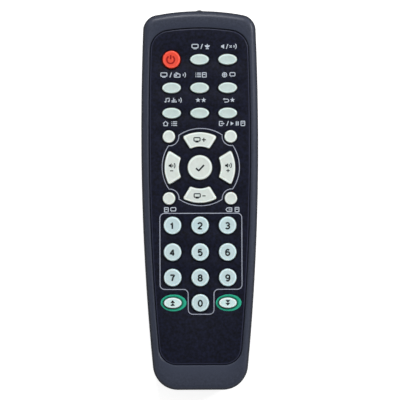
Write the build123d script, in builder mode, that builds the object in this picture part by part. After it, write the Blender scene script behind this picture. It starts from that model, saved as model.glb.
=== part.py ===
"""A hand-held remote control: a two-part moulded case with an inset face plate, thirty silicone
keys over a keypad mat and a circuit board, an infrared lamp in the head end, and two AAA cells
behind a sliding door in the back.

Millimetres. X is across the case, +Y points to the head end with the lamp, and +Z points out of
the key face. The case rests on its back at Z = 0, and the origin is the middle of its footprint.
"""

from build123d import *
from math import asin, cos, degrees, pi, radians, sin, sqrt, tan
import os

os.makedirs("parts", exist_ok=True)

# Case plan, all at the parting line, with a plain apron between the last keys and the tail end
tail_apron = 41.95
case_width = 56.1
widest_from_tail = 119.6
tail_side_radius = 1130.0
head_side_radius = 1350.0
head_end_radius = 112.0
tail_corner_radius = 12.0
head_corner_radius = 7.5

# Parting line and walls
parting_height = 11.5
wall = 2.0
front_draft = 3.0
back_draft = 7.0
front_edge_radius = 2.6
back_edge_radius = 5.0
edge_bands = 3
least_corner_radius = 0.6

# Rim between the case halves, and the snap hooks
lip_depth = 1.0
lip_thickness = 0.8
rim_gap = 0.15
hook_width = 6.0
hook_thickness = 1.0
hook_reach = 3.2
hook_barb = 0.9
hook_barb_height = 1.4
hook_from_tail = 55.0
hook_from_head = 30.5

# Face plate and the recess that it lies in
recess_side = 3.8
recess_tail = 12.3
recess_head = 8.6
recess_tail_corner = 8.5
recess_head_corner = 9.5
recess_depth = 0.4
recess_bank_side = 0.7
recess_bank_end = 0.45
plate_gap = 0.25
plate_flange_thickness = 1.0
plate_rim_chamfer = 0.4
ledge_width = 1.5
window_margin = 3.0
window_corner = 4.0
deck_thickness = 1.15

# Keys, measured where they leave the face plate, and their round outlines drawn in flats
power_diameter = 8.8
digit_diameter = 8.5
corner_key_diameter = 6.1
select_diameter = 11.8
oval_length = 9.1
oval_width = 5.25
page_length = 8.65
page_width = 5.15
arrow_outer_radius = 16.9
arrow_inner_radius = 9.9
arrow_outer_angle = 29.3
arrow_inner_angle = 27.8
arrow_corner = 0.7
key_flats = 20
arrow_outer_flats = 9
arrow_inner_flats = 6
key_stand = 1.5
key_hole_gap = 0.3
key_flange = 0.8
key_flange_thickness = 0.45
key_flange_gap = 0.25
key_travel = 1.0
press_clearance = 0.05
pill_size = 3.2

# Key places, the rows counted from the head end
function_pitch = 13.35
function_rows = (23.8, 37.3, 49.3)
pad_row = 75.15
corner_key_offset = 14.7
digit_pitch = 13.1
digit_rows = (102.7, 115.4, 127.5, 139.55)

# Keypad mat and circuit board
mat_thickness = 1.0
mat_margin = 1.6
mat_corner_radius = 3.0
contact_window_gap = 0.45
board_thickness = 1.2
board_side = 4.4
board_tail_margin = 10.3
board_head = 10.0
post_size = 3.2
post_pin_size = 1.6
post_pin_reach = 0.8
post_hole_gap = 0.15
post_inset = 3.2
post_from_head = (32.5, 119.5)

# Cells, their bay and the contacts
cell_diameter = 10.5
cell_length = 44.5
cell_nub_diameter = 3.8
cell_nub_length = 1.0
cell_pitch = 11.7
cell_gap = 0.35
bay_from_tail = 10.5
bay_wall = 1.2
bay_roof_gap = 0.3
contact_thickness = 0.4
contact_width = 8.6
contact_height = 8.0
contact_corner = 1.0
contact_tab_width = 2.0
contact_tab_gap = 0.2
contact_tab_short = 0.2
spring_length = 6.6
spring_wire = 0.7
spring_base_radius = 3.4
spring_tip_radius = 2.3
spring_turns = 3
spring_wire_sides = 4

# Door in the back
door_width = 29.2
door_thickness = 1.8
door_gap = 0.2
door_head_margin = 4.0
rail_width = 1.4
rail_thickness = 0.8
rail_housing = 1.4
grip_ribs = 7
grip_pitch = 1.9
grip_groove_width = 0.9
grip_groove_depth = 0.5
grip_length = 15.0
grip_from_tail = 11.0
arrow_mark_width = 7.0
arrow_mark_length = 4.5
arrow_mark_depth = 0.3
arrow_mark_gap = 3.0

# Screw and its boss
screw_from_tail = 29.5
screw_radius = 1.15
screw_length = 4.8
screw_head_radius = 2.2
screw_head_height = 1.3
screw_hole_gap = 0.25
screw_grip_gap = 0.05
screw_end_gap = 0.3
cross_length = 2.4
cross_width = 0.6
cross_depth = 0.7
boss_radius = 2.8
boss_gap = 0.15
boss_board_gap = 0.2

# Infrared lamp
lamp_radius = 2.5
lamp_reach = 0.5
lamp_bands = 2
lamp_length = 8.6
lamp_flange_radius = 2.9
lamp_flange_thickness = 1.0
lamp_hole_gap = 0.12
lamp_sink_radius = 4.5
lamp_sink_bottom_radius = 3.1
lamp_sink_depth = 0.45
lamp_lead_pitch = 2.54
lamp_lead = 0.5
lamp_lead_run = 3.6
lead_hole_gap = 0.15
lead_end = 0.8

# Parts under the circuit board, each as width, length and height
chip_size = (7.5, 15.4, 2.3)
chip_pins = 10
chip_pin_pitch = 1.27
chip_pin_reach = 1.2
chip_pin_width = 0.45
chip_pin_thickness = 0.3
chip_bevel = 0.25
chip_from_head = 69.5
resonator_size = (7.4, 3.4, 5.2)
resonator_corner = 0.9
resonator_place = (11.0, 53.5)
capacitor_radius = 2.5
capacitor_length = 7.0
capacitor_place = (-11.0, 51.5)
transistor_size = (2.9, 1.3, 1.1)
transistor_place = (4.0, 31.5)
resistor_size = (3.2, 1.6, 0.6)
resistor_x = -3.0
resistor_from_head = 32.5
resistor_pitch = 3.2
resistor_count = 6

# Worked out from the sizes above
case_length = digit_rows[-1] + tail_apron
tail_y = -(case_length + lamp_reach) / 2
head_y = tail_y + case_length
widest_y = tail_y + widest_from_tail
cell_radius = cell_diameter / 2

# Heights, stacked from the back to the face
floor_top = door_thickness + door_gap
cell_axis_z = floor_top + cell_gap + cell_radius
bay_roof = cell_axis_z + cell_radius + cell_gap
bay_roof_top = bay_roof + bay_wall
board_bottom = bay_roof_top + bay_roof_gap
board_top = board_bottom + board_thickness
mat_top = board_top + mat_thickness
pill_bottom = board_top + key_travel + press_clearance
flange_bottom = mat_top + key_travel + press_clearance
flange_top = flange_bottom + key_flange_thickness
plate_bottom = flange_top + key_flange_gap
plate_seat = plate_bottom + deck_thickness
plate_top = plate_seat + plate_flange_thickness
bezel_height = plate_top + recess_depth
key_top = plate_top + key_stand

# Places along the case and across it
pill_window = pill_size + 2 * contact_window_gap
post_hole = post_pin_size + 2 * post_hole_gap
bay_half_width = cell_pitch / 2 + cell_radius + cell_gap
bay_length = cell_length + spring_length + 2 * contact_thickness
bay_tail_y = tail_y + bay_from_tail
bay_head_y = bay_tail_y + bay_length
bay_middle_y = (bay_tail_y + bay_head_y) / 2
door_head_y = bay_head_y + door_head_margin
arrow_mark_y = tail_y + grip_from_tail + grip_ribs * grip_pitch + arrow_mark_gap
screw_y = tail_y + screw_from_tail
lamp_tip_y = head_y + lamp_reach
pad_y = head_y - pad_row
first_key_y = head_y - function_rows[0] + power_diameter / 2 + key_flange
last_key_y = head_y - digit_rows[-1] - digit_diameter / 2 - key_flange
mat_half_width = function_pitch + oval_length / 2 + key_flange + mat_margin
mat_tail_y = last_key_y - mat_margin
mat_head_y = first_key_y + mat_margin
board_tail_y = mat_tail_y - board_tail_margin


def side_radius_at(y):
    """Radius of the case's side on either side of its widest station."""
    return tail_side_radius if y < widest_y else head_side_radius


def half_width_at(y, inset=0.0):
    """Half the width of the case plan at a station along it, drawn in by an inset."""
    radius = side_radius_at(y)
    return case_width / 2 - radius + sqrt(radius**2 - (y - widest_y) ** 2) - inset


def side_locations(stations, inset=0.0):
    """Places on both sides of the case whose own +X points outwards, square to the side."""
    places = []
    for y in stations:
        lean = degrees((y - widest_y) / side_radius_at(y))
        places.append(Location((half_width_at(y, inset), y, 0), (0, 0, lean)))
        places.append(Location((-half_width_at(y, inset), y, 0), (0, 0, 180 - lean)))
    return places


def case_plan(side, tail, head, tail_corner, head_corner):
    """The case outline drawn in by a side, a tail and a head inset."""
    low, high = tail_y + tail, head_y - head
    end_radius = head_end_radius - head
    corner_y = high - half_width_at(high, side) ** 2 / (2 * end_radius)
    low_corner = (half_width_at(low, side), low)
    high_corner = (half_width_at(corner_y, side), corner_y)
    widest = (case_width / 2 - side, widest_y)
    with BuildSketch() as plan:
        with BuildLine():
            Line((0, low), low_corner)
            RadiusArc(low_corner, widest, -(tail_side_radius - side))
            RadiusArc(widest, high_corner, -(head_side_radius - side))
            RadiusArc(high_corner, (0, high), -end_radius)
            mirror(about=Plane.YZ)
        make_face()
        fillet(plan.vertices().filter_by(lambda v: v.Y < low + 0.1 and abs(v.X) > 1), tail_corner)
        fillet(plan.vertices().filter_by(lambda v: abs(v.Y - corner_y) < 0.1 and abs(v.X) > 1), head_corner)
    return plan.sketch


def outline(inset=0.0):
    """The case outline drawn in evenly."""
    tail_corner = max(tail_corner_radius - inset, least_corner_radius)
    head_corner = max(head_corner_radius - inset, least_corner_radius)
    return case_plan(inset, inset, inset, tail_corner, head_corner)


def rounded_form(end_height, draft, edge_radius, inset=0.0):
    """A body from the parting plane to a flat face, with drafted sides and an edge rounded in bands."""
    depth = abs(end_height - parting_height)
    way = 1 if end_height > parting_height else -1
    lean = radians(draft)
    centre_inset = inset + (depth - edge_radius) * tan(lean) + edge_radius / cos(lean)
    levels = [(inset, parting_height)]
    for band in range(edge_bands + 1):
        turn = lean + (pi / 2 - lean) * band / edge_bands
        drop = depth - edge_radius + edge_radius * sin(turn)
        levels.append((centre_inset - edge_radius * cos(turn), parting_height + way * drop))
    with BuildPart() as form:
        for level_inset, height in levels:
            with BuildSketch(Plane.XY.offset(height)):
                add(outline(level_inset))
        loft(ruled=True)
    return form.part


def recess_plan(gap=0.0):
    """The face plate's recess, drawn in by a gap."""
    return case_plan(
        recess_side + gap,
        recess_tail + gap,
        recess_head + gap,
        recess_tail_corner - gap,
        recess_head_corner - gap,
    )


def bank_plan():
    """The top of the sloping bank round the recess, wider along the sides than at the ends."""
    return case_plan(
        recess_side - recess_bank_side,
        recess_tail - recess_bank_end,
        recess_head - recess_bank_end,
        recess_tail_corner + recess_bank_end,
        recess_head_corner + recess_bank_end,
    )


def window_plan(gap=0.0):
    """The opening in the front shell under the face plate, drawn in by a gap."""
    side = recess_side + ledge_width + gap
    tail = last_key_y - window_margin - tail_y + gap
    head = head_y - first_key_y - window_margin + gap
    return case_plan(side, tail, head, window_corner - gap, window_corner - gap)


def board_plan():
    """The circuit board's outline: straight cuts a little inside the case's sides."""
    low, high = board_tail_y, head_y - board_head
    right = [(half_width_at(y, board_side), y) for y in (low, (low + widest_y) / 2, widest_y, high)]
    with BuildSketch() as plan:
        Polygon(*right, *[(-x, y) for x, y in reversed(right)], align=None)
    return plan.sketch


post_places = []
for station in post_from_head:
    post_x = half_width_at(head_y - station, board_side) - post_inset
    post_places += [(-post_x, head_y - station), (post_x, head_y - station)]


def arc_points(radius, first, last, flats):
    """Points at even steps on an arc about the origin, between two angles in degrees from +X."""
    steps = [radians(first + (last - first) * step / flats) for step in range(flats + 1)]
    return [(radius * cos(angle), radius * sin(angle)) for angle in steps]


def round_key(diameter, grow):
    """A round key's plan about the origin, grown all round."""
    with BuildSketch() as plan:
        RegularPolygon(diameter / 2 + grow, key_flats)
    return plan.sketch


def oval_key(length, width, grow):
    """An oval key's plan about the origin, grown all round."""
    squeeze = (width / 2 + grow) / (length / 2 + grow)
    turn = arc_points(length / 2 + grow, 0, 360, key_flats)[:-1]
    with BuildSketch() as plan:
        Polygon(*[(x, y * squeeze) for x, y in turn], align=None)
    return plan.sketch


def arrow_ends(grow):
    """Angles from +X of the right ends of a sector that points to +Y, outer and inner, grown all round."""
    outer_turn = arrow_outer_angle + degrees(asin(grow / (arrow_outer_radius + grow)))
    inner_turn = arrow_inner_angle + degrees(asin(grow / (arrow_inner_radius - grow)))
    return 90 - outer_turn, 90 - inner_turn


def arrow_key(turn, grow):
    """A sector of the pad's ring, turned from +Y about the pad's centre, grown all round."""
    outer_end, inner_end = arrow_ends(grow)
    outer = arc_points(arrow_outer_radius + grow, outer_end, 180 - outer_end, arrow_outer_flats)
    inner = arc_points(arrow_inner_radius - grow, 180 - inner_end, inner_end, arrow_inner_flats)
    with BuildSketch() as plan:
        Polygon(*outer, *inner, align=None)
        ends = [Vector(*outer[0]), Vector(*outer[-1]), Vector(*inner[0]), Vector(*inner[-1])]
        corners = plan.vertices().filter_by(lambda v: min((Vector(v) - end).length for end in ends) < 1e-3)
        chamfer(corners, arrow_corner + grow / 2)
    return plan.sketch.rotate(Axis.Z, turn)


def column(number):
    """X of a column of function keys, counted from the middle."""
    return number * function_pitch


# Every key: its plan, that plan's own sizes, and its place
power = (round_key, power_diameter)
digit = (round_key, digit_diameter)
corner_key = (round_key, corner_key_diameter)
function_key = (oval_key, oval_length, oval_width)
page_key = (oval_key, page_length, page_width)
row_y = [head_y - row for row in function_rows]
digit_y = [head_y - row for row in digit_rows]
keys = {
    "key_power": (power, column(-1), row_y[0]),
    "key_input": (function_key, column(0), row_y[0]),
    "key_mute": (function_key, column(1), row_y[0]),
    "key_radio": (function_key, column(-1), row_y[1]),
    "key_guide": (function_key, column(0), row_y[1]),
    "key_language": (function_key, column(1), row_y[1]),
    "key_audio": (function_key, column(-1), row_y[2]),
    "key_favourites": (function_key, column(0), row_y[2]),
    "key_back": (function_key, column(1), row_y[2]),
    "key_menu": (corner_key, -corner_key_offset, pad_y + corner_key_offset),
    "key_exit": (corner_key, corner_key_offset, pad_y + corner_key_offset),
    "key_info": (corner_key, -corner_key_offset, pad_y - corner_key_offset),
    "key_clear": (corner_key, corner_key_offset, pad_y - corner_key_offset),
    "key_ok": ((round_key, select_diameter), 0, pad_y),
    "key_channel_up": ((arrow_key, 0), 0, pad_y),
    "key_volume_down": ((arrow_key, 90), 0, pad_y),
    "key_channel_down": ((arrow_key, 180), 0, pad_y),
    "key_volume_up": ((arrow_key, 270), 0, pad_y),
    "key_page_up": (page_key, -digit_pitch, digit_y[3]),
    "key_0": (digit, 0, digit_y[3]),
    "key_page_down": (page_key, digit_pitch, digit_y[3]),
}
for number in range(1, 10):
    row, place = divmod(number - 1, 3)
    keys[f"key_{number}"] = (digit, (place - 1) * digit_pitch, digit_y[row])


def key_plan(name, grow=0.0):
    """A key's plan in its place on the face, grown all round."""
    (shape, *sizes), x, y = keys[name]
    return shape(*sizes, grow).moved(Location((x, y, 0)))


def key_foot(name):
    """The straight-sided foot that holds a key under the plate, an oblong or an arrow's own wedge."""
    (shape, *sizes), x, y = keys[name]
    with BuildSketch() as foot:
        if shape is arrow_key:
            outer_end, inner_end = arrow_ends(key_flange)
            edge = arrow_outer_radius + key_flange
            inner_corner = arc_points(arrow_inner_radius - key_flange, inner_end, 90, 1)[0]
            outer_corner = arc_points(edge, outer_end, 90, 1)[0]
            half = [inner_corner, outer_corner, (outer_corner[0], edge)]
            Polygon(*half, *[(-px, py) for px, py in reversed(half)], align=None)
        else:
            size = shape(*sizes, key_flange).bounding_box().size
            Rectangle(size.X, size.Y)
    turn = sizes[0] if shape is arrow_key else 0
    return foot.sketch.rotate(Axis.Z, turn).moved(Location((x, y, 0)))


# Snap hook, with its own +X towards the side of the case, clear of the rear wall's draft
back_slope = tan(radians(back_draft))
hook_face = wall + hook_reach * back_slope + rim_gap
hook_end = parting_height - hook_reach
with BuildPart() as hook:
    with BuildSketch(Plane.XZ):
        with BuildLine():
            Polyline(
                (-hook_face, plate_bottom),
                (-hook_face, hook_end + hook_barb_height),
                (-hook_face + hook_barb, hook_end + hook_barb_height),
                (-hook_face, hook_end),
                (-hook_face - hook_thickness, hook_end),
                (-hook_face - hook_thickness, plate_bottom),
                close=True,
            )
        make_face()
    extrude(amount=hook_width / 2, both=True)

hook_ends = (tail_y + hook_from_tail, head_y - hook_from_head)
hook_stations = [hook_ends[0], sum(hook_ends) / 2, hook_ends[1]]

# Room for the lamp: its hole through the head end and the shallow dish round it
with BuildPart() as lamp_room:
    with BuildSketch(Plane.XZ.offset(-head_y + lamp_length)):
        with Locations((0, parting_height)):
            Circle(lamp_radius + lamp_hole_gap)
    extrude(amount=-2 * lamp_length)
    with BuildSketch(Plane.XZ.offset(-head_y + lamp_sink_depth)):
        with Locations((0, parting_height)):
            Circle(lamp_sink_bottom_radius)
    with BuildSketch(Plane.XZ.offset(-head_y)):
        with Locations((0, parting_height)):
            Circle(lamp_sink_radius)
    loft()
    with BuildSketch(Plane.XZ.offset(-head_y)):
        with Locations((0, parting_height)):
            Circle(lamp_sink_radius)
    extrude(amount=-lamp_reach)

# Front shell
with BuildPart() as front_shell:
    add(rounded_form(bezel_height, front_draft, front_edge_radius))
    with BuildSketch(Plane.XY.offset(parting_height)):
        add(outline(wall))
    extrude(amount=plate_bottom - parting_height, mode=Mode.SUBTRACT)
    with BuildSketch(Plane.XY.offset(parting_height)):
        add(outline(wall - lip_thickness - rim_gap))
    extrude(amount=lip_depth + rim_gap, mode=Mode.SUBTRACT)
    with BuildSketch(Plane.XY.offset(plate_bottom)):
        add(window_plan())
    extrude(amount=bezel_height - plate_bottom, mode=Mode.SUBTRACT)
    with BuildSketch(Plane.XY.offset(plate_seat)):
        add(recess_plan())
    extrude(amount=plate_top - plate_seat, mode=Mode.SUBTRACT)
    with BuildSketch(Plane.XY.offset(plate_top)):
        add(recess_plan())
    with BuildSketch(Plane.XY.offset(bezel_height)):
        add(bank_plan())
    loft(ruled=True, mode=Mode.SUBTRACT)
    with Locations(*side_locations(hook_stations)):
        add(hook.part)
    with BuildSketch(Plane.XY.offset(bay_roof_top + boss_gap)):
        with Locations((0, screw_y)):
            Circle(boss_radius)
    extrude(amount=plate_bottom - bay_roof_top - boss_gap)
    with BuildSketch(Plane.XY.offset(bay_roof)):
        with Locations((0, screw_y)):
            Circle(screw_radius + screw_grip_gap)
    extrude(amount=screw_length + screw_end_gap, mode=Mode.SUBTRACT)
    add(lamp_room.part, mode=Mode.SUBTRACT)

# Rear shell and its door, cut from one form
rail_outer = door_width / 2 + rail_width
groove_outer = rail_outer + door_gap
housing_outer = groove_outer + rail_housing
housing_top = floor_top + rail_housing
back_form = rounded_form(0, back_draft, back_edge_radius)

# Thick floor over the door's rails
with BuildPart() as rail_floor:
    with BuildSketch(Plane.XY.offset(wall / 2)):
        with Locations((0, (tail_y + door_head_y + door_gap + rail_housing) / 2)):
            Rectangle(2 * housing_outer, door_head_y + door_gap + rail_housing - tail_y)
    extrude(amount=housing_top - wall / 2)
    add(back_form, mode=Mode.INTERSECT)

with BuildPart() as rear_shell:
    add(back_form)
    add(rounded_form(wall, back_draft, back_edge_radius - wall, wall), mode=Mode.SUBTRACT)
    # Tongue that stands in the front shell's rim
    with BuildSketch(Plane.XY.offset(parting_height)):
        add(outline(wall - lip_thickness))
        add(outline(wall), mode=Mode.SUBTRACT)
    extrude(amount=lip_depth)
    add(rail_floor.part)
    # Walls and roof of the cells' bay
    with BuildSketch(Plane.XY.offset(wall / 2)):
        with Locations((0, bay_middle_y)):
            Rectangle(2 * (bay_half_width + bay_wall), bay_length + 2 * bay_wall)
    extrude(amount=bay_roof_top - wall / 2)
    # Room for the cells, round over each of them
    with BuildSketch():
        with Locations((0, bay_middle_y)):
            Rectangle(2 * bay_half_width, bay_length)
    extrude(amount=cell_axis_z, mode=Mode.SUBTRACT)
    with BuildSketch(Plane.XZ.offset(-bay_head_y)):
        with Locations((-cell_pitch / 2, cell_axis_z), (cell_pitch / 2, cell_axis_z)):
            Circle(cell_radius + cell_gap)
    extrude(amount=bay_length, mode=Mode.SUBTRACT)
    # The ridge between the cells stops short of the bridging contact
    with BuildSketch(Plane.XY.offset(cell_axis_z)):
        with Locations((0, bay_tail_y)):
            Rectangle(cell_pitch, contact_thickness + 2 * rim_gap, align=(Align.CENTER, Align.MIN))
    extrude(amount=contact_height / 2 + rim_gap, mode=Mode.SUBTRACT)
    # Room for the door and its rails, open at the tail
    with BuildSketch():
        with Locations((0, (tail_y - wall + door_head_y + door_gap) / 2)):
            Rectangle(door_width + 2 * door_gap, door_head_y + door_gap - tail_y + wall)
    extrude(amount=floor_top, mode=Mode.SUBTRACT)
    with BuildSketch(Plane.XY.offset(floor_top)):
        with Locations((0, (tail_y - wall + door_head_y + door_gap) / 2)):
            Rectangle(2 * groove_outer, door_head_y + door_gap - tail_y + wall)
    extrude(amount=-rail_thickness - 2 * door_gap, mode=Mode.SUBTRACT)
    # Slots for the contacts' tabs, and the screw's hole and seat
    with BuildSketch(Plane.XY.offset(cell_axis_z)):
        with Locations(
            (-cell_pitch / 2, bay_head_y - contact_thickness / 2),
            (cell_pitch / 2, bay_head_y - contact_thickness / 2),
        ):
            Rectangle(contact_tab_width + 2 * contact_tab_gap, contact_thickness + 2 * contact_tab_gap)
    extrude(amount=bay_roof_top - cell_axis_z, mode=Mode.SUBTRACT)
    with BuildSketch(Plane.XY.offset(floor_top)):
        with Locations((0, screw_y)):
            Circle(screw_head_radius + screw_hole_gap)
    extrude(amount=bay_roof - floor_top, mode=Mode.SUBTRACT)
    with BuildSketch(Plane.XY.offset(bay_roof)):
        with Locations((0, screw_y)):
            Circle(screw_radius + screw_hole_gap)
    extrude(amount=bay_wall, mode=Mode.SUBTRACT)
    # Notches for the snap hooks
    with BuildSketch(Plane.XY.offset(hook_end - rim_gap)):
        with Locations(*side_locations(hook_stations, hook_face)):
            Rectangle(2 * (hook_barb + rim_gap), hook_width + 2 * rim_gap)
    extrude(amount=hook_barb_height + 2 * rim_gap, mode=Mode.SUBTRACT)
    # Posts under the circuit board, with pins in its holes
    with BuildSketch(Plane.XY.offset(wall / 2)):
        with Locations(*post_places):
            Rectangle(post_size, post_size)
    extrude(amount=board_bottom - wall / 2)
    with BuildSketch(Plane.XY.offset(board_bottom)):
        with Locations(*post_places):
            Rectangle(post_pin_size, post_pin_size)
    extrude(amount=post_pin_reach)
    add(lamp_room.part, mode=Mode.SUBTRACT)

# Battery door: a slice of the same form, with rails, grip grooves and an arrow
with BuildPart() as battery_door:
    with BuildSketch():
        with Locations((0, (tail_y - wall + door_head_y) / 2)):
            Rectangle(door_width, door_head_y - tail_y + wall)
    extrude(amount=door_thickness)
    with BuildSketch(Plane.XY.offset(door_thickness)):
        with Locations((0, (tail_y - wall + door_head_y) / 2)):
            Rectangle(2 * rail_outer, door_head_y - tail_y + wall)
    extrude(amount=-rail_thickness)
    add(back_form, mode=Mode.INTERSECT)
    with BuildSketch():
        with Locations((0, tail_y + grip_from_tail + (grip_ribs - 1) * grip_pitch / 2)):
            with GridLocations(0, grip_pitch, 1, grip_ribs):
                Rectangle(grip_length, grip_groove_width)
    extrude(amount=grip_groove_depth, mode=Mode.SUBTRACT)
    with BuildSketch():
        with BuildLine():
            Polyline(
                (-arrow_mark_width / 2, arrow_mark_y + arrow_mark_length),
                (0, arrow_mark_y),
                (arrow_mark_width / 2, arrow_mark_y + arrow_mark_length),
                close=True,
            )
        make_face()
    extrude(amount=arrow_mark_depth, mode=Mode.SUBTRACT)

# Face plate: a rim on the recess floor and a thicker key field through the window
with BuildPart() as face_plate:
    with BuildSketch(Plane.XY.offset(plate_seat)):
        add(recess_plan(plate_gap))
    extrude(amount=plate_flange_thickness)
    chamfer(face_plate.faces().sort_by(Axis.Z)[-1].edges(), plate_rim_chamfer)
    with BuildSketch(Plane.XY.offset(plate_seat)):
        add(window_plan(plate_gap))
    extrude(amount=-deck_thickness)
    with BuildSketch(Plane.XY.offset(plate_bottom)):
        for name in keys:
            add(key_plan(name, key_hole_gap))
    extrude(amount=plate_top - plate_bottom, mode=Mode.SUBTRACT)

# Keypad mat, with a window over each pair of contact pads
with BuildPart() as keypad_mat:
    with BuildSketch(Plane.XY.offset(board_top)):
        with Locations((0, (mat_tail_y + mat_head_y) / 2)):
            RectangleRounded(2 * mat_half_width, mat_head_y - mat_tail_y, mat_corner_radius)
        for name in keys:
            with Locations(key_plan(name).bounding_box().center()):
                Rectangle(pill_window, pill_window, mode=Mode.SUBTRACT)
    extrude(amount=mat_thickness)

# Circuit board, with holes for the posts, the boss, the contacts' tabs and the lamp's leads
tab_places = [(side * cell_pitch / 2, bay_head_y - contact_thickness / 2) for side in (-1, 1)]
lead_y = lamp_tip_y - lamp_length - lamp_lead_run
lead_places = [(side * lamp_lead_pitch / 2, lead_y) for side in (-1, 1)]
with BuildPart() as circuit_board:
    with BuildSketch(Plane.XY.offset(board_bottom)):
        add(board_plan())
        with Locations(*post_places):
            Rectangle(post_hole, post_hole, mode=Mode.SUBTRACT)
        with Locations((0, screw_y)):
            Circle(boss_radius + boss_board_gap, mode=Mode.SUBTRACT)
        with Locations(*tab_places):
            Rectangle(
                contact_tab_width + 2 * contact_tab_gap,
                contact_thickness + 2 * contact_tab_gap,
                mode=Mode.SUBTRACT,
            )
        with Locations(*lead_places):
            Rectangle(lamp_lead + 2 * lead_hole_gap, lamp_lead + 2 * lead_hole_gap, mode=Mode.SUBTRACT)
    extrude(amount=board_thickness)


def make_key(name):
    """A silicone key: its cap through the face plate, its foot under it and its contact pill."""
    with BuildPart() as key:
        with BuildSketch(Plane.XY.offset(flange_bottom)):
            add(key_plan(name))
        extrude(amount=key_top - flange_bottom)
        with BuildSketch(Plane.XY.offset(flange_bottom)):
            add(key_foot(name))
        extrude(amount=key_flange_thickness)
        with BuildSketch(Plane.XY.offset(pill_bottom)):
            with Locations(key_plan(name).bounding_box().center()):
                Rectangle(pill_size, pill_size)
        extrude(amount=flange_bottom - pill_bottom)
    return key.part


# Infrared lamp: a domed body with a collar, and two legs bent up into the board
with BuildPart() as ir_led:
    lamp_back_y = lamp_tip_y - lamp_length
    dome = [
        (
            lamp_tip_y - lamp_radius + lamp_radius * sin(pi / 2 * band / lamp_bands),
            parting_height + lamp_radius * cos(pi / 2 * band / lamp_bands),
        )
        for band in range(lamp_bands + 1)
    ]
    with BuildSketch(Plane.YZ):
        with BuildLine():
            Polyline(
                (lamp_back_y, parting_height),
                (lamp_back_y, parting_height + lamp_flange_radius),
                (lamp_back_y + lamp_flange_thickness, parting_height + lamp_flange_radius),
                (lamp_back_y + lamp_flange_thickness, parting_height + lamp_radius),
                *dome,
                close=True,
            )
        make_face()
    revolve(axis=Axis((0, 0, parting_height), (0, 1, 0)))
    for x, y in lead_places:
        with BuildSketch(Plane.YZ.offset(x)):
            with BuildLine():
                Polyline(
                    (lamp_back_y, parting_height - lamp_lead / 2),
                    (lamp_back_y, parting_height + lamp_lead / 2),
                    (y + lamp_lead / 2, parting_height + lamp_lead / 2),
                    (y + lamp_lead / 2, board_top + lead_end),
                    (y - lamp_lead / 2, board_top + lead_end),
                    (y - lamp_lead / 2, parting_height - lamp_lead / 2),
                    close=True,
                )
            make_face()
        extrude(amount=lamp_lead / 2, both=True)

# An AAA cell standing on its flat end at the origin
with BuildPart() as cell:
    with BuildSketch():
        Circle(cell_radius)
    extrude(amount=cell_length - cell_nub_length)
    with BuildSketch(Plane.XY.offset(cell_length - cell_nub_length)):
        Circle(cell_nub_diameter / 2)
    extrude(amount=cell_nub_length)

# The left cell points to the head end and the right one to the tail end
head_contact_y = bay_head_y - contact_thickness
tail_contact_y = bay_tail_y + contact_thickness
left_axis, right_axis = -cell_pitch / 2, cell_pitch / 2
with BuildPart() as battery_left:
    with Locations(Plane((left_axis, head_contact_y - cell_length, cell_axis_z), z_dir=(0, 1, 0)).location):
        add(cell.part)
with BuildPart() as battery_right:
    with Locations(Plane((right_axis, tail_contact_y + cell_length, cell_axis_z), z_dir=(0, -1, 0)).location):
        add(cell.part)


def contact_plate(x, y, width, tab):
    """A spring-steel plate across the end of the bay, with a tab up through the circuit board."""
    with BuildPart() as plate:
        with BuildSketch(Plane.XZ.offset(-y)):
            with Locations((x, cell_axis_z)):
                chamfer(Rectangle(width, contact_height).vertices(), contact_corner)
            if tab:
                with Locations((x, cell_axis_z)):
                    Rectangle(
                        contact_tab_width,
                        board_top - contact_tab_short - cell_axis_z,
                        align=(Align.CENTER, Align.MIN),
                    )
        extrude(amount=contact_thickness)
    return plate.part


def helix_point(turn):
    """A point on a battery spring's centre line, and its direction there, after some turns."""
    share = turn / spring_turns
    angle = 2 * pi * turn
    radius = spring_base_radius + (spring_tip_radius - spring_base_radius) * share
    rise = spring_length - spring_wire
    point = Vector(radius * cos(angle), radius * sin(angle), spring_wire / 2 + rise * share)
    narrowing = (spring_tip_radius - spring_base_radius) / (2 * pi * spring_turns)
    direction = Vector(
        narrowing * cos(angle) - radius * sin(angle),
        narrowing * sin(angle) + radius * cos(angle),
        rise / (2 * pi * spring_turns),
    )
    return point, direction.normalized()


def biarc(start, start_direction, end, end_direction):
    """Two arcs, tangent to each other, that join two points with the directions given."""
    across = end - start
    both = start_direction + end_direction
    spread = 2 * (1 - start_direction.dot(end_direction))
    reach = (sqrt(across.dot(both) ** 2 + spread * across.dot(across)) - across.dot(both)) / spread
    middle = (start + end + (start_direction - end_direction) * reach) * 0.5
    through = (end - end_direction * reach - start - start_direction * reach).normalized()
    TangentArc(start, middle, tangent=start_direction)
    TangentArc(middle, end, tangent=through)


# A battery spring, standing on its wide end at the origin
with BuildPart() as coil:
    with BuildLine() as coil_path:
        for half in range(2 * spring_turns):
            biarc(*helix_point(half / 2), *helix_point((half + 1) / 2))
    with BuildSketch(Plane(coil_path.line @ 0, z_dir=coil_path.line % 0)):
        RegularPolygon(spring_wire / 2, spring_wire_sides)
    sweep()

samples = range(24 * (spring_turns - 1))
turn_gap = min((helix_point(step / 24 + 1)[0] - helix_point(step / 24)[0]).length for step in samples)
print("least gap between the turns of a battery spring:", round(turn_gap - spring_wire, 2))

with BuildPart() as tail_spring:
    with Locations(Plane((left_axis, tail_contact_y, cell_axis_z), z_dir=(0, 1, 0)).location):
        add(coil.part)
with BuildPart() as head_spring:
    with Locations(Plane((right_axis, head_contact_y, cell_axis_z), z_dir=(0, -1, 0)).location):
        add(coil.part)

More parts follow.
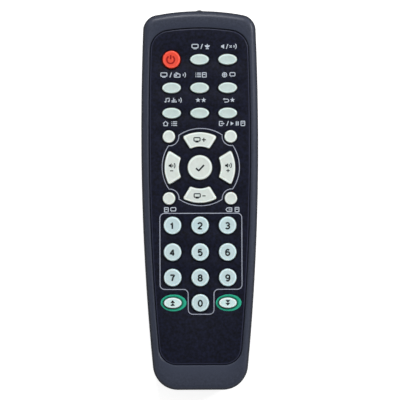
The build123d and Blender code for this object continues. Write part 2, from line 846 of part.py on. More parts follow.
# Case screw: a pan head with a cross recess, up through the bay's roof into the boss
with BuildPart() as case_screw:
    with BuildSketch(Plane.XY.offset(bay_roof - screw_head_height)):
        with Locations((0, screw_y)):
            Circle(screw_head_radius)
    extrude(amount=screw_head_height)
    with BuildSketch(Plane.XY.offset(bay_roof)):
        with Locations((0, screw_y)):
            Circle(screw_radius)
    extrude(amount=screw_length)
    with BuildSketch(Plane.XY.offset(bay_roof - screw_head_height)):
        with Locations((0, screw_y)):
            Rectangle(cross_length, cross_width)
            Rectangle(cross_width, cross_length)
    extrude(amount=cross_depth, mode=Mode.SUBTRACT)


def under_board(place, size):
    """A block under the board, from its place (X, and the way from the head end) and its three sizes."""
    x, station = place
    width, length, height = size
    with Locations((x, head_y - station, board_bottom)):
        Box(width, length, height, align=(Align.CENTER, Align.CENTER, Align.MAX))


with BuildPart() as controller_chip:
    under_board((0, chip_from_head), chip_size)
    chamfer(controller_chip.faces().sort_by(Axis.Z)[0].edges(), chip_bevel)
    with Locations((0, head_y - chip_from_head, board_bottom)):
        with GridLocations(0, chip_pin_pitch, 1, chip_pins):
            Box(
                chip_size[0] + 2 * chip_pin_reach,
                chip_pin_width,
                chip_pin_thickness,
                align=(Align.CENTER, Align.CENTER, Align.MAX),
            )

with BuildPart() as resonator:
    under_board(resonator_place, resonator_size)
    chamfer(resonator.edges().filter_by(Axis.Z), resonator_corner)

with BuildPart() as capacitor:
    with BuildSketch(Plane.XZ.offset(capacitor_place[1] - head_y)):
        with Locations((capacitor_place[0], board_bottom - capacitor_radius)):
            Circle(capacitor_radius)
    extrude(amount=capacitor_length)

with BuildPart() as transistor:
    under_board(transistor_place, transistor_size)
    chamfer(transistor.faces().sort_by(Axis.Z)[0].edges(), chip_bevel)

with BuildPart() as resistors:
    for index in range(resistor_count):
        under_board((resistor_x, resistor_from_head + index * resistor_pitch), resistor_size)

pieces = {
    "front_shell": front_shell.part,
    "rear_shell": rear_shell.part,
    "battery_door": battery_door.part,
    "face_plate": face_plate.part,
    "keypad_mat": keypad_mat.part,
    "circuit_board": circuit_board.part,
    "controller_chip": controller_chip.part,
    "resonator": resonator.part,
    "capacitor": capacitor.part,
    "transistor": transistor.part,
    "resistors": resistors.part,
    "ir_led": ir_led.part,
    "battery_left": battery_left.part,
    "battery_right": battery_right.part,
    "bridge_contact": contact_plate(0, tail_contact_y, cell_pitch + contact_width, False),
    "positive_contact": contact_plate(left_axis, bay_head_y, contact_width, True),
    "negative_contact": contact_plate(right_axis, bay_head_y, contact_width, True),
    "tail_spring": tail_spring.part,
    "head_spring": head_spring.part,
    "case_screw": case_screw.part,
}
pieces.update({name: make_key(name) for name in keys})
for name, piece in pieces.items():
    piece.label = name
    export_step(piece, f"parts/{name}.step")
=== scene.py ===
"""The looks of a hand-held remote control, laid out as a Blender add-on.

Metres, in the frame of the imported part: X across the case, +Y to the head end, +Z out of the key face.
Each operator makes one piece or one group of like pieces, and main() calls them in order.
"""

from math import acos, asin, atan2, cos, degrees, hypot, pi, radians, sin, sqrt, tan

import bmesh
import bpy
from bpy.props import FloatProperty, FloatVectorProperty, PointerProperty
from mathutils import Matrix, Vector


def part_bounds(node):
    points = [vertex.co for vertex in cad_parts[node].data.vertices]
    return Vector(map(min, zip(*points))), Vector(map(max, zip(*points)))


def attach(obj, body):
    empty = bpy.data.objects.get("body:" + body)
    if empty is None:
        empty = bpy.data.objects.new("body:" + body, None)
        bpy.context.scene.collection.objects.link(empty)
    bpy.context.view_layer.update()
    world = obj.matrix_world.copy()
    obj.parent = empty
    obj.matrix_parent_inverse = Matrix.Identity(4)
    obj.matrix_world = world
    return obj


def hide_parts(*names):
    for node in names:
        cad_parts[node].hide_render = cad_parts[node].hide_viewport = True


bl_info = {
    "name": "Remote control",
    "version": (1, 0),
    "blender": (4, 5, 0),
    "location": "3D View > Sidebar > Remote",
    "description": "Moulded case, key panel, keys and battery bay of a hand-held remote control",
    "category": "Add Mesh",
}

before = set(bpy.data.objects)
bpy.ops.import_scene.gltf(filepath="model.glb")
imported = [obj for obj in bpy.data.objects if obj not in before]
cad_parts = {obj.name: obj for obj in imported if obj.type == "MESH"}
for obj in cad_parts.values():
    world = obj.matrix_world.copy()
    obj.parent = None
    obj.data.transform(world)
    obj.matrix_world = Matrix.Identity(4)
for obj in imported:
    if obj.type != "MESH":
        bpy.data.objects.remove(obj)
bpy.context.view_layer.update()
MM = 0.001


def part_box(name):
    """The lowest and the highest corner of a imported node, in millimetres."""
    return [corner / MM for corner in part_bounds(name)]


# Case plan and heights, in millimetres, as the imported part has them
CASE_WIDTH = 56.1
SIDE_RADIUS_TAIL = 1130.0
SIDE_RADIUS_HEAD = 1350.0
HEAD_RADIUS = 112.0
TAIL_CORNER = 12.0
HEAD_CORNER = 7.5
WIDEST_FROM_TAIL = 119.6
PARTING = 11.5
WALL = 2.0
FRONT_DRAFT = 3.0
BACK_DRAFT = 7.0
BACK_EDGE = 5.0
SEAM = 0.14
LIP = 1.0
RIM_GAP = 0.15
RIM_OUTER = 1.05
TONGUE = 1.2
LEAST_CORNER = 0.6
HEAD_SWEEP = 1.3
# Steps of half the outline: tail, its corner, side up to the widest place, side beyond, head corner, head
OUTLINE_STEPS = (6, 14, 24, 14, 12, 12)

# Plans inside the rim: insets from the side, the tail and the head, then the corners at the tail and the head
RECESS = (3.8, 12.3, 8.6, 8.5, 9.5)
BANK = (3.1, 11.85, 8.15, 8.95, 9.95)
# The bank's rounded shoulder, slope and small round foot: share of the way in, drop below the rim, and mark,
# which paints a highlight on the shoulder and shade at the foot
BANK_LEVELS = ((0, 0, 0.7), (0.14, 0.03, 1), (0.3, 0.1, 0.6), (0.85, 0.34, -0.5), (1, 0.46, -1))
# Where the rim's rounding stops being coarse with painted shade, and where hands have rubbed it smoothest
# under a painted highlight, in degrees of its turn
COARSE_SHADE_END, COARSE_SHADE_FADE = 52, 26
CREST, CREST_FADE = 72, 20

# Face plate and its openings
PLATE_THICK = 1.0
PLATE_GAP = 0.3
PLATE_EDGE = 0.4
PLATE_MARGIN = 0.3
# Marks down the plate's rounded edge: a painted highlight along its top and painted shade down its flank
PLATE_LIGHT_MARKS = (0, 0.8, 1, 0.3, -1, -1, -1)
DECK_WIDTH = 1.5
DECK_MARGIN = 3.0
DECK_CORNER = 4.0
KEY_HOLE_GAP = 0.3
HOLE_EDGE = 0.14

# Keys: the foot round the cap, its thickness and its gap under the plate, and the contact pill
FOOT = 0.8
FOOT_THICK = 0.45
FOOT_GAP = 0.25
PILL_REACH = 1.6
POWER_FLARE = 0.15
KEY_STEPS = 64
SECTOR_DISH = 0.06
# Marks up a cap's rounded edge: painted shade low in the opening, a painted highlight along the crest
CAP_LIGHT_MARKS = (-0.7, -0.15, 0.2, 0.5, 0.8, 1, 1)
# Rings over a cap's top: share of the way from its middle, and mark, a painted highlight just inside the rim
# and a faint painted shade line within it
CAP_TOP = ((0.93, 0.7), (0.86, -0.08), (0.8, 0), (0.62, 0), (0.42, 0), (0.2, 0))

# How far the boxes that cut, or are cut, run past the case
PAST = 3.0

# Battery bay, the door on its rails, and the bay's cells
BAY_HALF = 11.45
BAY_WALL = 1.2
BAY_ROOF = 14.4
FLOOR_TOP, FLOOR_MIDDLE = 2.0, 1.0
CELL_X, CELL_Z = 5.85, 7.6
CELL_ROOM = 5.6
DOOR_HALF, DOOR_TOP, DOOR_GAP = 14.6, 1.8, 0.2
RAIL_HALF, RAIL_LOW = 16.0, 1.0
RAIL_BED, RAIL_ROOF = 1.6, 3.4
DOOR_ROUND = 0.12
# The grip grooves, and the shares of their depth at which their round bottom is drawn
GROOVES, GROOVE_HALF, FIRST_GROOVE = 7, 0.5, 11.0
GROOVE_SHARES = (-1.0, 0.0, 0.5, 0.8, 0.95)
ARROW_GAP, ARROW_HALF, ARROW_LENGTH, ARROW_DEPTH = 3.0, 3.5, 4.5, 0.3

# Turned shapes, as distances along the axis and radii: the screw's seat over the floor, and the dish in the
# head end round the lamp
SCREW_SEAT = ((0, 2.45), (11.2, 2.45), (11.25, 1.4), (14, 1.4))
LAMP_DISH = ((-0.62, 2.62), (-0.5, 2.75), (-0.42, 3.2), (-0.25, 3.75), (0.0, 4.35), (0.3, 4.6), (1.0, 4.6))
LAMP_RADIUS = 2.5
LAMP_LENGTH = 8.6
LAMP_COLLAR = ((0, 2.7), (0.1, 2.9), (0.9, 2.9), (1.0, 2.8), (1.0, LAMP_RADIUS))
LEG_X, LEG_RUN, LEG_HALF = 1.27, 3.6, 0.25
# A cell's flat end, and its shoulder and nub as measured back from the nub's tip
CELL_FLAT = ((0.25, 3.4), (0, 3.6), (0, 4.3), (0.2, 4.5), (0.1, 4.9))
CELL_NUB = ((1.25, 4.4), (1.45, 4.2), (1.4, 2.2), (1.2, 1.95), (0.2, 1.9), (0, 1.7))
# The can's side from the flat end and back from the nub's tip, and the roll of its shoulder
CAN_START, CAN_STOP, CAN_ROLL = 0.35, 1.6, (1.3, 0.2)
CELL_BAND = 12.0
# Where the sleeve stops: back from the nub's tip, and at the flat end, out from the axis and along it
CRIMP, CRIMP_RADIUS, CRIMP_FLAT = 1.32, 4.45, 0.05
COIL_TURNS, COIL_BASE, COIL_TIP, WIRE = 3.25, 3.4, 2.3, 0.35
SCREW_HEAD = ((0, 1.5), (0.06, 1.9), (0.25, 2.12), (0.6, 2.2), (1.3, 2.2), (1.3, 1.15))
THREAD, SCREW_TIP = ((0, 0.95), (0.3, 1.15), (0.45, 0.95)), 0.6
THREADS, THREAD_START, THREAD_PITCH = 5, 1.5, 0.8
CROSS, CROSS_DEPTH = (1.2, 0.3), 0.7
NICKEL = "c9cacc"

# The case's ends and heights, read from the frame
shell_low, shell_high = part_box("front_shell")
TAIL_Y, HEAD_Y, BEZEL = shell_low.y, shell_high.y, shell_high.z
WIDEST_Y = TAIL_Y + WIDEST_FROM_TAIL
PLATE_BOTTOM, PLATE_TOP = (corner.z for corner in part_box("face_plate"))
PLATE_SEAT = PLATE_TOP - PLATE_THICK
DOOR_END = part_box("battery_door")[1].y

# Keys: the pad's middle, its ring sectors with their angles in degrees, and the small keys at its corners
PAD_Y = HEAD_Y - 75.15
SECTOR_MIDDLE = 13.4
SECTOR_OUTER, SECTOR_INNER = 16.9, 9.9
SECTOR_OUTER_ANGLE, SECTOR_INNER_ANGLE = 29.3, 27.8
SECTOR_CORNER, SECTOR_LEAST_CORNER = 0.9, 0.2
# Steps of a sector's round corners, its outer arc and its inner arc
SECTOR_STEPS = (6, 14, 10)
SECTOR_TURNS = {"key_channel_up": 0, "key_volume_down": 90, "key_channel_down": 180, "key_volume_up": 270}
CORNERS = ("key_exit", "key_menu", "key_info", "key_clear")
KEYS = [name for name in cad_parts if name.startswith("key_")]


def part_middle(name):
    """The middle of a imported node's box, in millimetres."""
    low, high = part_box(name)
    return (low + high) / 2


def key_middle(name):
    """Middle of a key's top, in millimetres."""
    if name in SECTOR_TURNS:
        turn = radians(SECTOR_TURNS[name])
        return -SECTOR_MIDDLE * sin(turn), PAD_Y + SECTOR_MIDDLE * cos(turn)
    return part_middle(name)[:2]


def key_half(name):
    """Half the width and half the length of a round or oval key's cap, in millimetres."""
    low, high = part_box(name)
    return (high.x - low.x) / 2 - FOOT, (high.y - low.y) / 2 - FOOT


def srgb(code):
    """A colour written as six hex digits, as the linear values that shaders take."""
    values = [int(code[place : place + 2], 16) / 255 for place in (0, 2, 4)]
    return [v / 12.92 if v <= 0.04045 else ((v + 0.055) / 1.055) ** 2.4 for v in values]


def size_property(name, description, default):
    """A length in metres, given in millimetres."""
    kind = {"subtype": "DISTANCE", "unit": "LENGTH"}
    return FloatProperty(name=name, description=description, default=default * MM, **kind)


def light_property(name, description, default, unit="NONE"):
    """A lamp's power or a plain brightness."""
    return FloatProperty(name=name, description=description, default=default, unit=unit)


def colour_property(name, description, code):
    """A colour, given as six hex digits."""
    return FloatVectorProperty(
        name=name, description=description, default=srgb(code), subtype="COLOR", size=3, min=0, max=1
    )


class CaseSettings(bpy.types.PropertyGroup):
    """Sizes and colours of the case."""

    edge_radius: size_property("Edge radius", "Rounding of the front shell's outer edge", 2.6)
    grip_length: size_property("Grip length", "Length of the grooves on the battery door", 15.0)
    grip_pitch: size_property("Grip pitch", "Distance between two grip grooves", 1.9)
    grip_depth: size_property("Grip depth", "Depth of a grip groove", 0.5)
    front_colour: colour_property("Front shell", "Blue-grey of the front shell", "2e3342")
    back_colour: colour_property("Rear shell", "Dark grey of the rear shell and the door", "26272f")
    plate_colour: colour_property("Face plate", "Blue-black of the key panel", "0e1122")


class KeySettings(bpy.types.PropertyGroup):
    """Sizes and colours of the keys."""

    edge_radius: size_property("Edge radius", "Rounding of a key's top edge", 0.55)
    draft: size_property("Draft", "How much a cap narrows from its foot to its edge, on each side", 0.08)
    dish: size_property("Dish", "Depth of the shallow dish in a key's top", 0.16)
    digit_colour: colour_property("Digit keys", "Cool pale grey of the digit keys", "c2d7da")
    oval_colour: colour_property("Function keys", "Grey-green of the oval keys", "c0d1ce")
    pad_colour: colour_property("Pad keys", "Warm pale grey of the pad's keys", "d4dcd7")
    page_colour: colour_property("Page keys", "Bright pale green of the page keys", "cfe8e5")
    power_colour: colour_property("Power key", "Orange-red of the power key", "e54a33")


class PrintSettings(bpy.types.PropertyGroup):
    """Sizes and colours of the print on the panel and the keys."""

    line_width: size_property("Line width", "Width of the printed outlines", 0.37)
    stroke: size_property("Stroke", "Width of the small signs' strokes", 0.4)
    thickness: size_property("Ink thickness", "How far the ink stands proud", 0.03)
    shift: size_property("Print shift", "How far the print sits to the right of the keys", 0.4)
    pale_colour: colour_property("Pale ink", "Lilac grey of the outlines", "a2a8b8")
    label_colour: colour_property("Label ink", "Cool white of the small signs", "bcc5d0")
    dark_colour: colour_property("Dark ink", "Near-black of the signs on the keys", "1c2226")
    red_colour: colour_property("Red ink", "Dark red of the sign on the power key", "9c0f0b")
    ring_colour: colour_property("Green ring", "Green of the rings round the page keys", "27a787")
    # The darker green stands for the key's shade on the ring: painted shade
    ring_shade_colour: colour_property("Inner green", "Darker green beside the page keys", "128a6b")


class StageSettings(bpy.types.PropertyGroup):
    """Light and camera."""

    camera_height: size_property("Camera height", "Height of the camera over the floor", 1191.5)
    floor_size: size_property("Floor", "Width of the floor", 6000.0)
    head_light: light_property("Head light", "Power of the lamp over the head end", 5.6, "POWER")
    side_light: light_property("Side light", "Power of the lamp at the right", 5.4, "POWER")
    fill_light: light_property("Fill light", "Power of the soft lamp", 0.2, "POWER")
    ceiling: light_property("Ceiling", "Brightness overhead, as reflections see it", 0.2)
    glow: light_property("Glow", "Brightness of the even light from all round", 0.4)


# Plans of the case, in millimetres


def arc(centre, radius, first, last, steps):
    """Points on an arc between two angles in radians, without the last one."""
    angles = [first + (last - first) * step / steps for step in range(steps)]
    return [(centre[0] + radius * cos(a), centre[1] + radius * sin(a)) for a in angles]


def quarter(steps, first=0.0):
    """Even turns from a first angle up to a right angle, in radians, both ends included."""
    return [first + (pi / 2 - first) * step / steps for step in range(steps + 1)]


def bow(x, y, half_x, half_y, first=0, last=360, steps=16):
    """Points along an ellipse or a part of one, both ends included, between two angles in degrees."""
    turns = [radians(first + (last - first) * step / steps) for step in range(steps + 1)]
    return [(x + half_x * cos(t), y + half_y * sin(t)) for t in turns]


def after(loop):
    """The same loop begun at its second place."""
    return loop[1:] + loop[:1]


def case_loop(side, tail, head, tail_corner, head_corner):
    """The case's outline drawn in by a side, a tail and a head inset, as one closed loop of points."""
    low, high = TAIL_Y + tail, HEAD_Y - head
    tail_side, head_side, end = SIDE_RADIUS_TAIL - side, SIDE_RADIUS_HEAD - side, HEAD_RADIUS - head
    tail_centre = (CASE_WIDTH / 2 - SIDE_RADIUS_TAIL, WIDEST_Y)
    head_centre = (CASE_WIDTH / 2 - SIDE_RADIUS_HEAD, WIDEST_Y)
    end_centre = (0.0, high - end)
    # Corner at the tail, between the straight end and the side
    tail_fillet_y = low + tail_corner
    reach = tail_side - tail_corner
    tail_fillet = (tail_centre[0] + sqrt(reach**2 - (tail_fillet_y - WIDEST_Y) ** 2), tail_fillet_y)
    side_start = atan2(tail_fillet[1] - WIDEST_Y, tail_fillet[0] - tail_centre[0])
    # Corner at the head, between the side and the curved end
    across = Vector(end_centre) - Vector(head_centre)
    a, b = head_side - head_corner, end - head_corner
    along = (a**2 - b**2 + across.length**2) / (2 * across.length)
    off = sqrt(a**2 - along**2)
    unit = across.normalized()
    head_fillet = Vector(head_centre) + unit * along + Vector((-unit.y, unit.x)) * off
    side_end = atan2(head_fillet.y - WIDEST_Y, head_fillet.x - head_centre[0])
    end_start = atan2(head_fillet.y - end_centre[1], head_fillet.x - end_centre[0])
    steps, *arc_steps = OUTLINE_STEPS
    half = [(tail_fillet[0] * step / steps, low) for step in range(1, steps)]
    arcs = (
        (tail_fillet, tail_corner, -pi / 2, side_start),
        (tail_centre, tail_side, side_start, 0),
        (head_centre, head_side, 0, side_end),
        (head_fillet, head_corner, side_end, end_start),
        (end_centre, end, end_start, pi / 2),
    )
    for shape, steps in zip(arcs, arc_steps):
        half += arc(*shape, steps)
    return [(0.0, low), *half, (0.0, high), *[(-x, y) for x, y in reversed(half)]]


def outer_loop(inset, sweep=1.0):
    """The case's outline drawn in evenly, or by more at the head end."""
    corners = [max(corner - inset, LEAST_CORNER) for corner in (TAIL_CORNER, HEAD_CORNER)]
    return case_loop(inset, inset, inset * sweep, *corners)


def between(first, last, share):
    """A row of numbers part of the way between two others."""
    return [a + (b - a) * share for a, b in zip(first, last)]


def drawn_in(plan, inset):
    """A plan's insets and corners, drawn in evenly."""
    return [r + inset for r in plan[:3]] + [r - inset for r in plan[3:]]


def deck_loop(gap=0.0):
    """The opening under the face plate, drawn in by a gap."""
    low = min(part_box(name)[0].y for name in KEYS) - DECK_MARGIN
    high = max(part_box(name)[1].y for name in KEYS) + DECK_MARGIN
    side = RECESS[0] + DECK_WIDTH
    return case_loop(*drawn_in((side, low - TAIL_Y, HEAD_Y - high, DECK_CORNER, DECK_CORNER), gap))


def level(loop, height):
    """A loop of plan points in millimetres, lifted to a height, in metres."""
    return [Vector((x, y, height)) * MM for x, y in loop]


# Plans of the keys


def key_loop(name, grow=0.0, share=1.0):
    """A key's plan in its place, grown all round and then shrunk towards its middle, in millimetres."""
    if name in SECTOR_TURNS:
        return sector_loop(SECTOR_TURNS[name], grow, share)
    halves = [(half + grow) * share for half in key_half(name)]
    return bow(*key_middle(name), *halves, steps=KEY_STEPS)[:-1]


def sector_loop(turn, grow, share):
    """A ring sector with round corners, grown all round, then shrunk towards its middle and turned."""
    outer, inner, corner = SECTOR_OUTER + grow, SECTOR_INNER - grow, SECTOR_CORNER + grow / 2
    corner = max(corner, SECTOR_LEAST_CORNER)
    outer_end = radians(SECTOR_OUTER_ANGLE) + asin(grow / outer)
    inner_end = radians(SECTOR_INNER_ANGLE) + asin(grow / inner)
    start = Vector((inner * sin(inner_end), inner * cos(inner_end)))
    stop = Vector((outer * sin(outer_end), outer * cos(outer_end)))
    way = (stop - start).normalized()
    normal = Vector((-way.y, way.x))
    base = (start + normal * corner).dot(normal)
    # Centres of the two corner arcs, which touch the straight side and the inner or outer arc
    radii = (inner + corner, outer - corner)
    lower, upper = (normal * base + way * sqrt(radius**2 - base**2) for radius in radii)
    side = atan2(-normal.y, -normal.x)
    lower_in = atan2(-lower.y, -lower.x)
    upper_out = atan2(upper.y, upper.x)
    corner_steps, outer_steps, inner_steps = SECTOR_STEPS
    half = arc(lower, corner, lower_in, side if lower_in < side else side + 2 * pi, corner_steps)
    half += arc(upper, corner, side if side < upper_out else side - 2 * pi, upper_out, corner_steps)
    half += arc((0, 0), outer, upper_out, pi / 2, outer_steps)
    inside = arc((0, 0), inner, pi / 2, atan2(lower.y, lower.x), inner_steps)[1:]
    loop = [*half, (0.0, outer), *[(-x, y) for x, y in reversed(half)]]
    loop += [(-x, y) for x, y in reversed(inside)] + [(0.0, inner)] + inside
    middle = (outer + inner) / 2
    spin = radians(turn)
    out = []
    for x, y in loop:
        x, y = x * share, middle + (y - middle) * share
        out.append((x * cos(spin) - y * sin(spin), PAD_Y + x * sin(spin) + y * cos(spin)))
    return out


# Mesh making


def from_bmesh(name, bm):
    """A linked object at the origin from a bmesh, which is freed."""
    mesh = bpy.data.meshes.new(name)
    bm.to_mesh(mesh)
    bm.free()
    made = bpy.data.objects.new(name, mesh)
    bpy.context.scene.collection.objects.link(made)
    return made


def wrap(bm, rings, closed=False, marks=()):
    """Faces between equal closed loops in order; each loop has one mark or a list. Gives the vertices."""
    rows = [[bm.verts.new(point) for point in ring] for ring in rings]
    for lower, upper in zip(rows, after(rows) if closed else rows[1:]):
        for corners in zip(lower, after(lower), after(upper), upper):
            bm.faces.new(corners)
    layer = bm.verts.layers.float.get("edge")
    for row, mark in zip(rows, marks):
        for vert, own in zip(row, mark if isinstance(mark, list) else [mark] * len(row)):
            vert[layer] = own
    return rows


def skin(name, rings, closed=False, marks=()):
    """A mesh through equal closed loops of points in order, with a cap at each end where it isn't closed."""
    bm = bmesh.new()
    if marks:
        bm.verts.layers.float.new("edge")
    rows = wrap(bm, rings, closed, marks)
    if not closed:
        bm.faces.new(reversed(rows[0]))
        bm.faces.new(rows[-1])
    bmesh.ops.recalc_face_normals(bm, faces=bm.faces)
    return from_bmesh(name, bm)


def lathe(name, profile, place, direction, steps=64):
    """Turns a profile of (along, radius) pairs in millimetres about an axis."""
    turn = Vector((0, 0, 1)).rotation_difference(Vector(direction)).to_matrix()
    rings = []
    for along, radius in profile:
        ring = [turn @ Vector((x, y, along)) for x, y in arc((0, 0), max(radius, 1e-4), 0, 2 * pi, steps)]
        rings.append([(Vector(place) + point) * MM for point in ring])
    return skin(name, rings)


def block(name, low, high):
    """A closed box between two corners, in millimetres."""
    corners = [(low[0], low[1]), (high[0], low[1]), (high[0], high[1]), (low[0], high[1])]
    return skin(name, [level(corners, low[2]), level(corners, high[2])])


def slab(name, half, along, heights):
    """A closed box centred across the case, between two places along it and two heights, in millimetres."""
    return block(name, (-half, along[0], heights[0]), (half, along[1], heights[1]))


def bake_modifiers(made):
    """Puts an object's modifiers into its mesh."""
    bpy.context.view_layer.update()
    final = made.evaluated_get(bpy.context.evaluated_depsgraph_get())
    mesh = bpy.data.meshes.new_from_object(final)
    made.modifiers.clear()
    made.data = mesh
    return made


def carve(made, tool, operation="DIFFERENCE"):
    """Cuts a closed mesh with another, joins them or keeps what they share, and drops the second."""
    modifier = made.modifiers.new("carve", "BOOLEAN")
    modifier.solver = "EXACT"
    modifier.operation = operation
    modifier.object = tool
    bake_modifiers(made)
    bpy.data.objects.remove(tool)
    return made


def soften(made, width, angle=40):
    """Rounds the sharp edges that booleans leave."""
    modifier = made.modifiers.new("soften", "BEVEL")
    modifier.width = width * MM
    modifier.segments = 2
    modifier.limit_method = "ANGLE"
    modifier.angle_limit = radians(angle)
    return bake_modifiers(made)


def join(name, parts):
    """One object from several."""
    bm = bmesh.new()
    for part in parts:
        bm.from_mesh(part.data)
        bpy.data.objects.remove(part)
    return from_bmesh(name, bm)


def settle(made, body, material, nodes=(), sharp=32):
    """Smooths a finished piece, gives it a material, hangs it on its body and hides the imported nodes that
    it stands for.
    """
    made.data.shade_smooth()
    made.data.set_sharp_from_angle(angle=radians(sharp))
    if material:
        made.data.materials.clear()
        made.data.materials.append(material)
    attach(made, body)
    if nodes:
        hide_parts(*nodes)
    return made


def dress(made, material, chosen):
    """Gives the faces of a finished piece that a test picks a material of their own."""
    made.data.materials.append(material)
    for face in made.data.polygons:
        if chosen(face):
            face.material_index = len(made.data.materials) - 1


# Geometry Nodes


def fill(node, values):
    """Fills or links a node's inputs, given by name or place."""
    for key, value in values.items():
        if isinstance(value, bpy.types.NodeSocket):
            node.id_data.links.new(value, node.inputs[key])
        else:
            node.inputs[key].default_value = value


def add(tree, kind, values=None, **settings):
    """Adds a node with its settings and its inputs."""
    node = tree.nodes.new(kind)
    for key, value in settings.items():
        setattr(node, key, value)
    fill(node, values or {})
    return node


def new_tree(name, inputs):
    """A Geometry Nodes tree with named inputs besides its geometry, and what its input node gives."""
    tree = bpy.data.node_groups.new(name, "GeometryNodeTree")
    for label, kind in (("Geometry", "NodeSocketGeometry"), *inputs):
        tree.interface.new_socket(label, in_out="INPUT", socket_type=kind)
    tree.interface.new_socket("Geometry", in_out="OUTPUT", socket_type="NodeSocketGeometry")
    return tree, add(tree, "NodeGroupInput").outputs


def close_tree(tree, geometry, material):
    """Ends a tree in Realize Instances and Set Material."""
    real = add(tree, "GeometryNodeRealizeInstances", {0: geometry})
    dressed = add(tree, "GeometryNodeSetMaterial", {0: real.outputs[0], "Material": material})
    add(tree, "NodeGroupOutput", {0: dressed.outputs[0]})
    return tree


FLOAT, WHOLE, STUFF = "NodeSocketFloat", "NodeSocketInt", "NodeSocketMaterial"


def coil_tree():
    """A wire wound on a cone: a spiral line with a round section along it."""
    inputs = [(label, FLOAT) for label in ("Turns", "Base radius", "Tip radius", "Height", "Wire radius")]
    tree, given = new_tree("Coil", [*inputs, ("Material", STUFF)])
    values = {"Resolution": 40, "Rotations": given["Turns"], "Height": given["Height"]}
    values.update({"Start Radius": given["Base radius"], "End Radius": given["Tip radius"]})
    line = add(tree, "GeometryNodeCurveSpiral", values)
    values = {"Resolution": 12, "Radius": given["Wire radius"]}
    section = add(tree, "GeometryNodeCurvePrimitiveCircle", values)
    values = {0: line.outputs[0], 1: section.outputs[0], "Fill Caps": True}
    wire = add(tree, "GeometryNodeCurveToMesh", values)
    return close_tree(tree, wire.outputs[0], given["Material"])


def stripe_tree():
    """A flat stripe of ink along a line."""
    tree, given = new_tree("Stripe", [("Width", FLOAT), ("Thickness", FLOAT), ("Material", STUFF)])
    line = add(tree, "GeometryNodeMeshToCurve", {0: given["Geometry"]})
    flat = add(tree, "GeometryNodeSetCurveNormal", {0: line.outputs[0]}, mode="Z_UP")
    values = {"Width": given["Width"], "Height": given["Thickness"]}
    section = add(tree, "GeometryNodeCurvePrimitiveQuadrilateral", values)
    values = {0: flat.outputs[0], 1: section.outputs[0], "Fill Caps": True}
    film = add(tree, "GeometryNodeCurveToMesh", values)
    return close_tree(tree, film.outputs[0], given["Material"])


def row_tree():
    """Copies of one piece at even steps along Y."""
    tree, given = new_tree("Row", [("Count", WHOLE), ("Pitch", FLOAT), ("Material", STUFF)])
    step = add(tree, "ShaderNodeCombineXYZ", {"Y": given["Pitch"]})
    spots = add(tree, "GeometryNodeMeshLine", {"Count": given["Count"], "Offset": step.outputs[0]})
    values = {"Points": spots.outputs[0], "Instance": given["Geometry"]}
    copies = add(tree, "GeometryNodeInstanceOnPoints", values)
    return close_tree(tree, copies.outputs[0], given["Material"])


def run_tree(made, tree, values):
    """Runs a tree on an object with values for its named inputs and keeps the plain mesh."""
    modifier = made.modifiers.new("nodes", "NODES")
    modifier.node_group = tree
    for item in tree.interface.items_tree:
        if item.item_type == "SOCKET" and item.in_out == "INPUT" and item.name in values:
            modifier[item.identifier] = values[item.name]
    return bake_modifiers(made)


# Materials


def new_material(name, colour, roughness, specular=0.5, metallic=0.0):
    """A principled material with its even values on the shader's own sockets, and that shader."""
    made = bpy.data.materials.new(name)
    made.use_nodes = True
    shader = made.node_tree.nodes["Principled BSDF"]
    fill(shader, {"Base Color": (*colour, 1), "Roughness": roughness})
    fill(shader, {"Specular IOR Level": specular, "Metallic": metallic})
    return made, shader


def speckle(shader, colour, grain, spread, warp=(1, 1, 1)):
    """Clouds the base colour a little at one grain size in millimetres, and gives the pattern."""
    tree = shader.id_data
    place = add(tree, "ShaderNodeTexCoord").outputs["Object"]
    mapped = add(tree, "ShaderNodeMapping", {"Vector": place, "Scale": warp}).outputs[0]
    values = {"Vector": mapped, "Scale": 1 / (grain * MM), "Detail": 2}
    pattern = add(tree, "ShaderNodeTexNoise", values).outputs["Fac"]
    ramp = add(tree, "ShaderNodeValToRGB", {"Fac": pattern})
    for stop, position, way in zip(ramp.color_ramp.elements, (0.3, 0.7), (-1, 1)):
        stop.position = position
        stop.color = (*(min(1, c * (1 + way * spread)) for c in colour), 1)
    fill(shader, {"Base Color": ramp.outputs["Color"]})
    return pattern


def relief(shader, grain, depth, detail=2.0, kind="ShaderNodeTexNoise", **settings):
    """Raises the surface by a texture, with its grain size and its depth in millimetres."""
    tree = shader.id_data
    place = add(tree, "ShaderNodeTexCoord").outputs["Object"]
    texture = add(tree, kind, {"Vector": place, "Scale": 1 / (grain * MM), "Detail": detail}, **settings)
    values = {"Height": texture.outputs[0], "Distance": depth * MM, "Strength": 0.6}
    fill(shader, {"Normal": add(tree, "ShaderNodeBump", values).outputs[0]})


def roughen(shader, pattern, low, high, start=0.0):
    """Varies the roughness between two values by a pattern that runs from a start to 1."""
    values = {"Value": pattern, "From Min": start, "To Min": low, "To Max": high}
    fill(shader, {"Roughness": add(shader.id_data, "ShaderNodeMapRange", values).outputs[0]})


def painted_edge_light(shader, colour, gain, lift, depth):
    """Paints highlight and shade: lightens the clouded colour where the mesh's mark is above 0 and darkens it
    below; gives the mark.
    """
    tree = shader.id_data
    mark = add(tree, "ShaderNodeAttribute", attribute_name="edge").outputs["Fac"]
    sunk = add(tree, "ShaderNodeMath", {0: mark, 1: -1.0}, operation="MULTIPLY").outputs[0]
    pale = [min(0.9, c * gain + lift) for c in colour]
    dark = [c * (1 - depth) for c in colour]
    tint = shader.inputs["Base Color"].links[0].from_socket
    for factor, tone in ((mark, pale), (sunk, dark)):
        values = {"Factor": factor, 6: tint, 7: (*tone, 1)}
        tint = add(tree, "ShaderNodeMix", values, data_type="RGBA").outputs[2]
    fill(shader, {"Base Color": tint})
    return mark


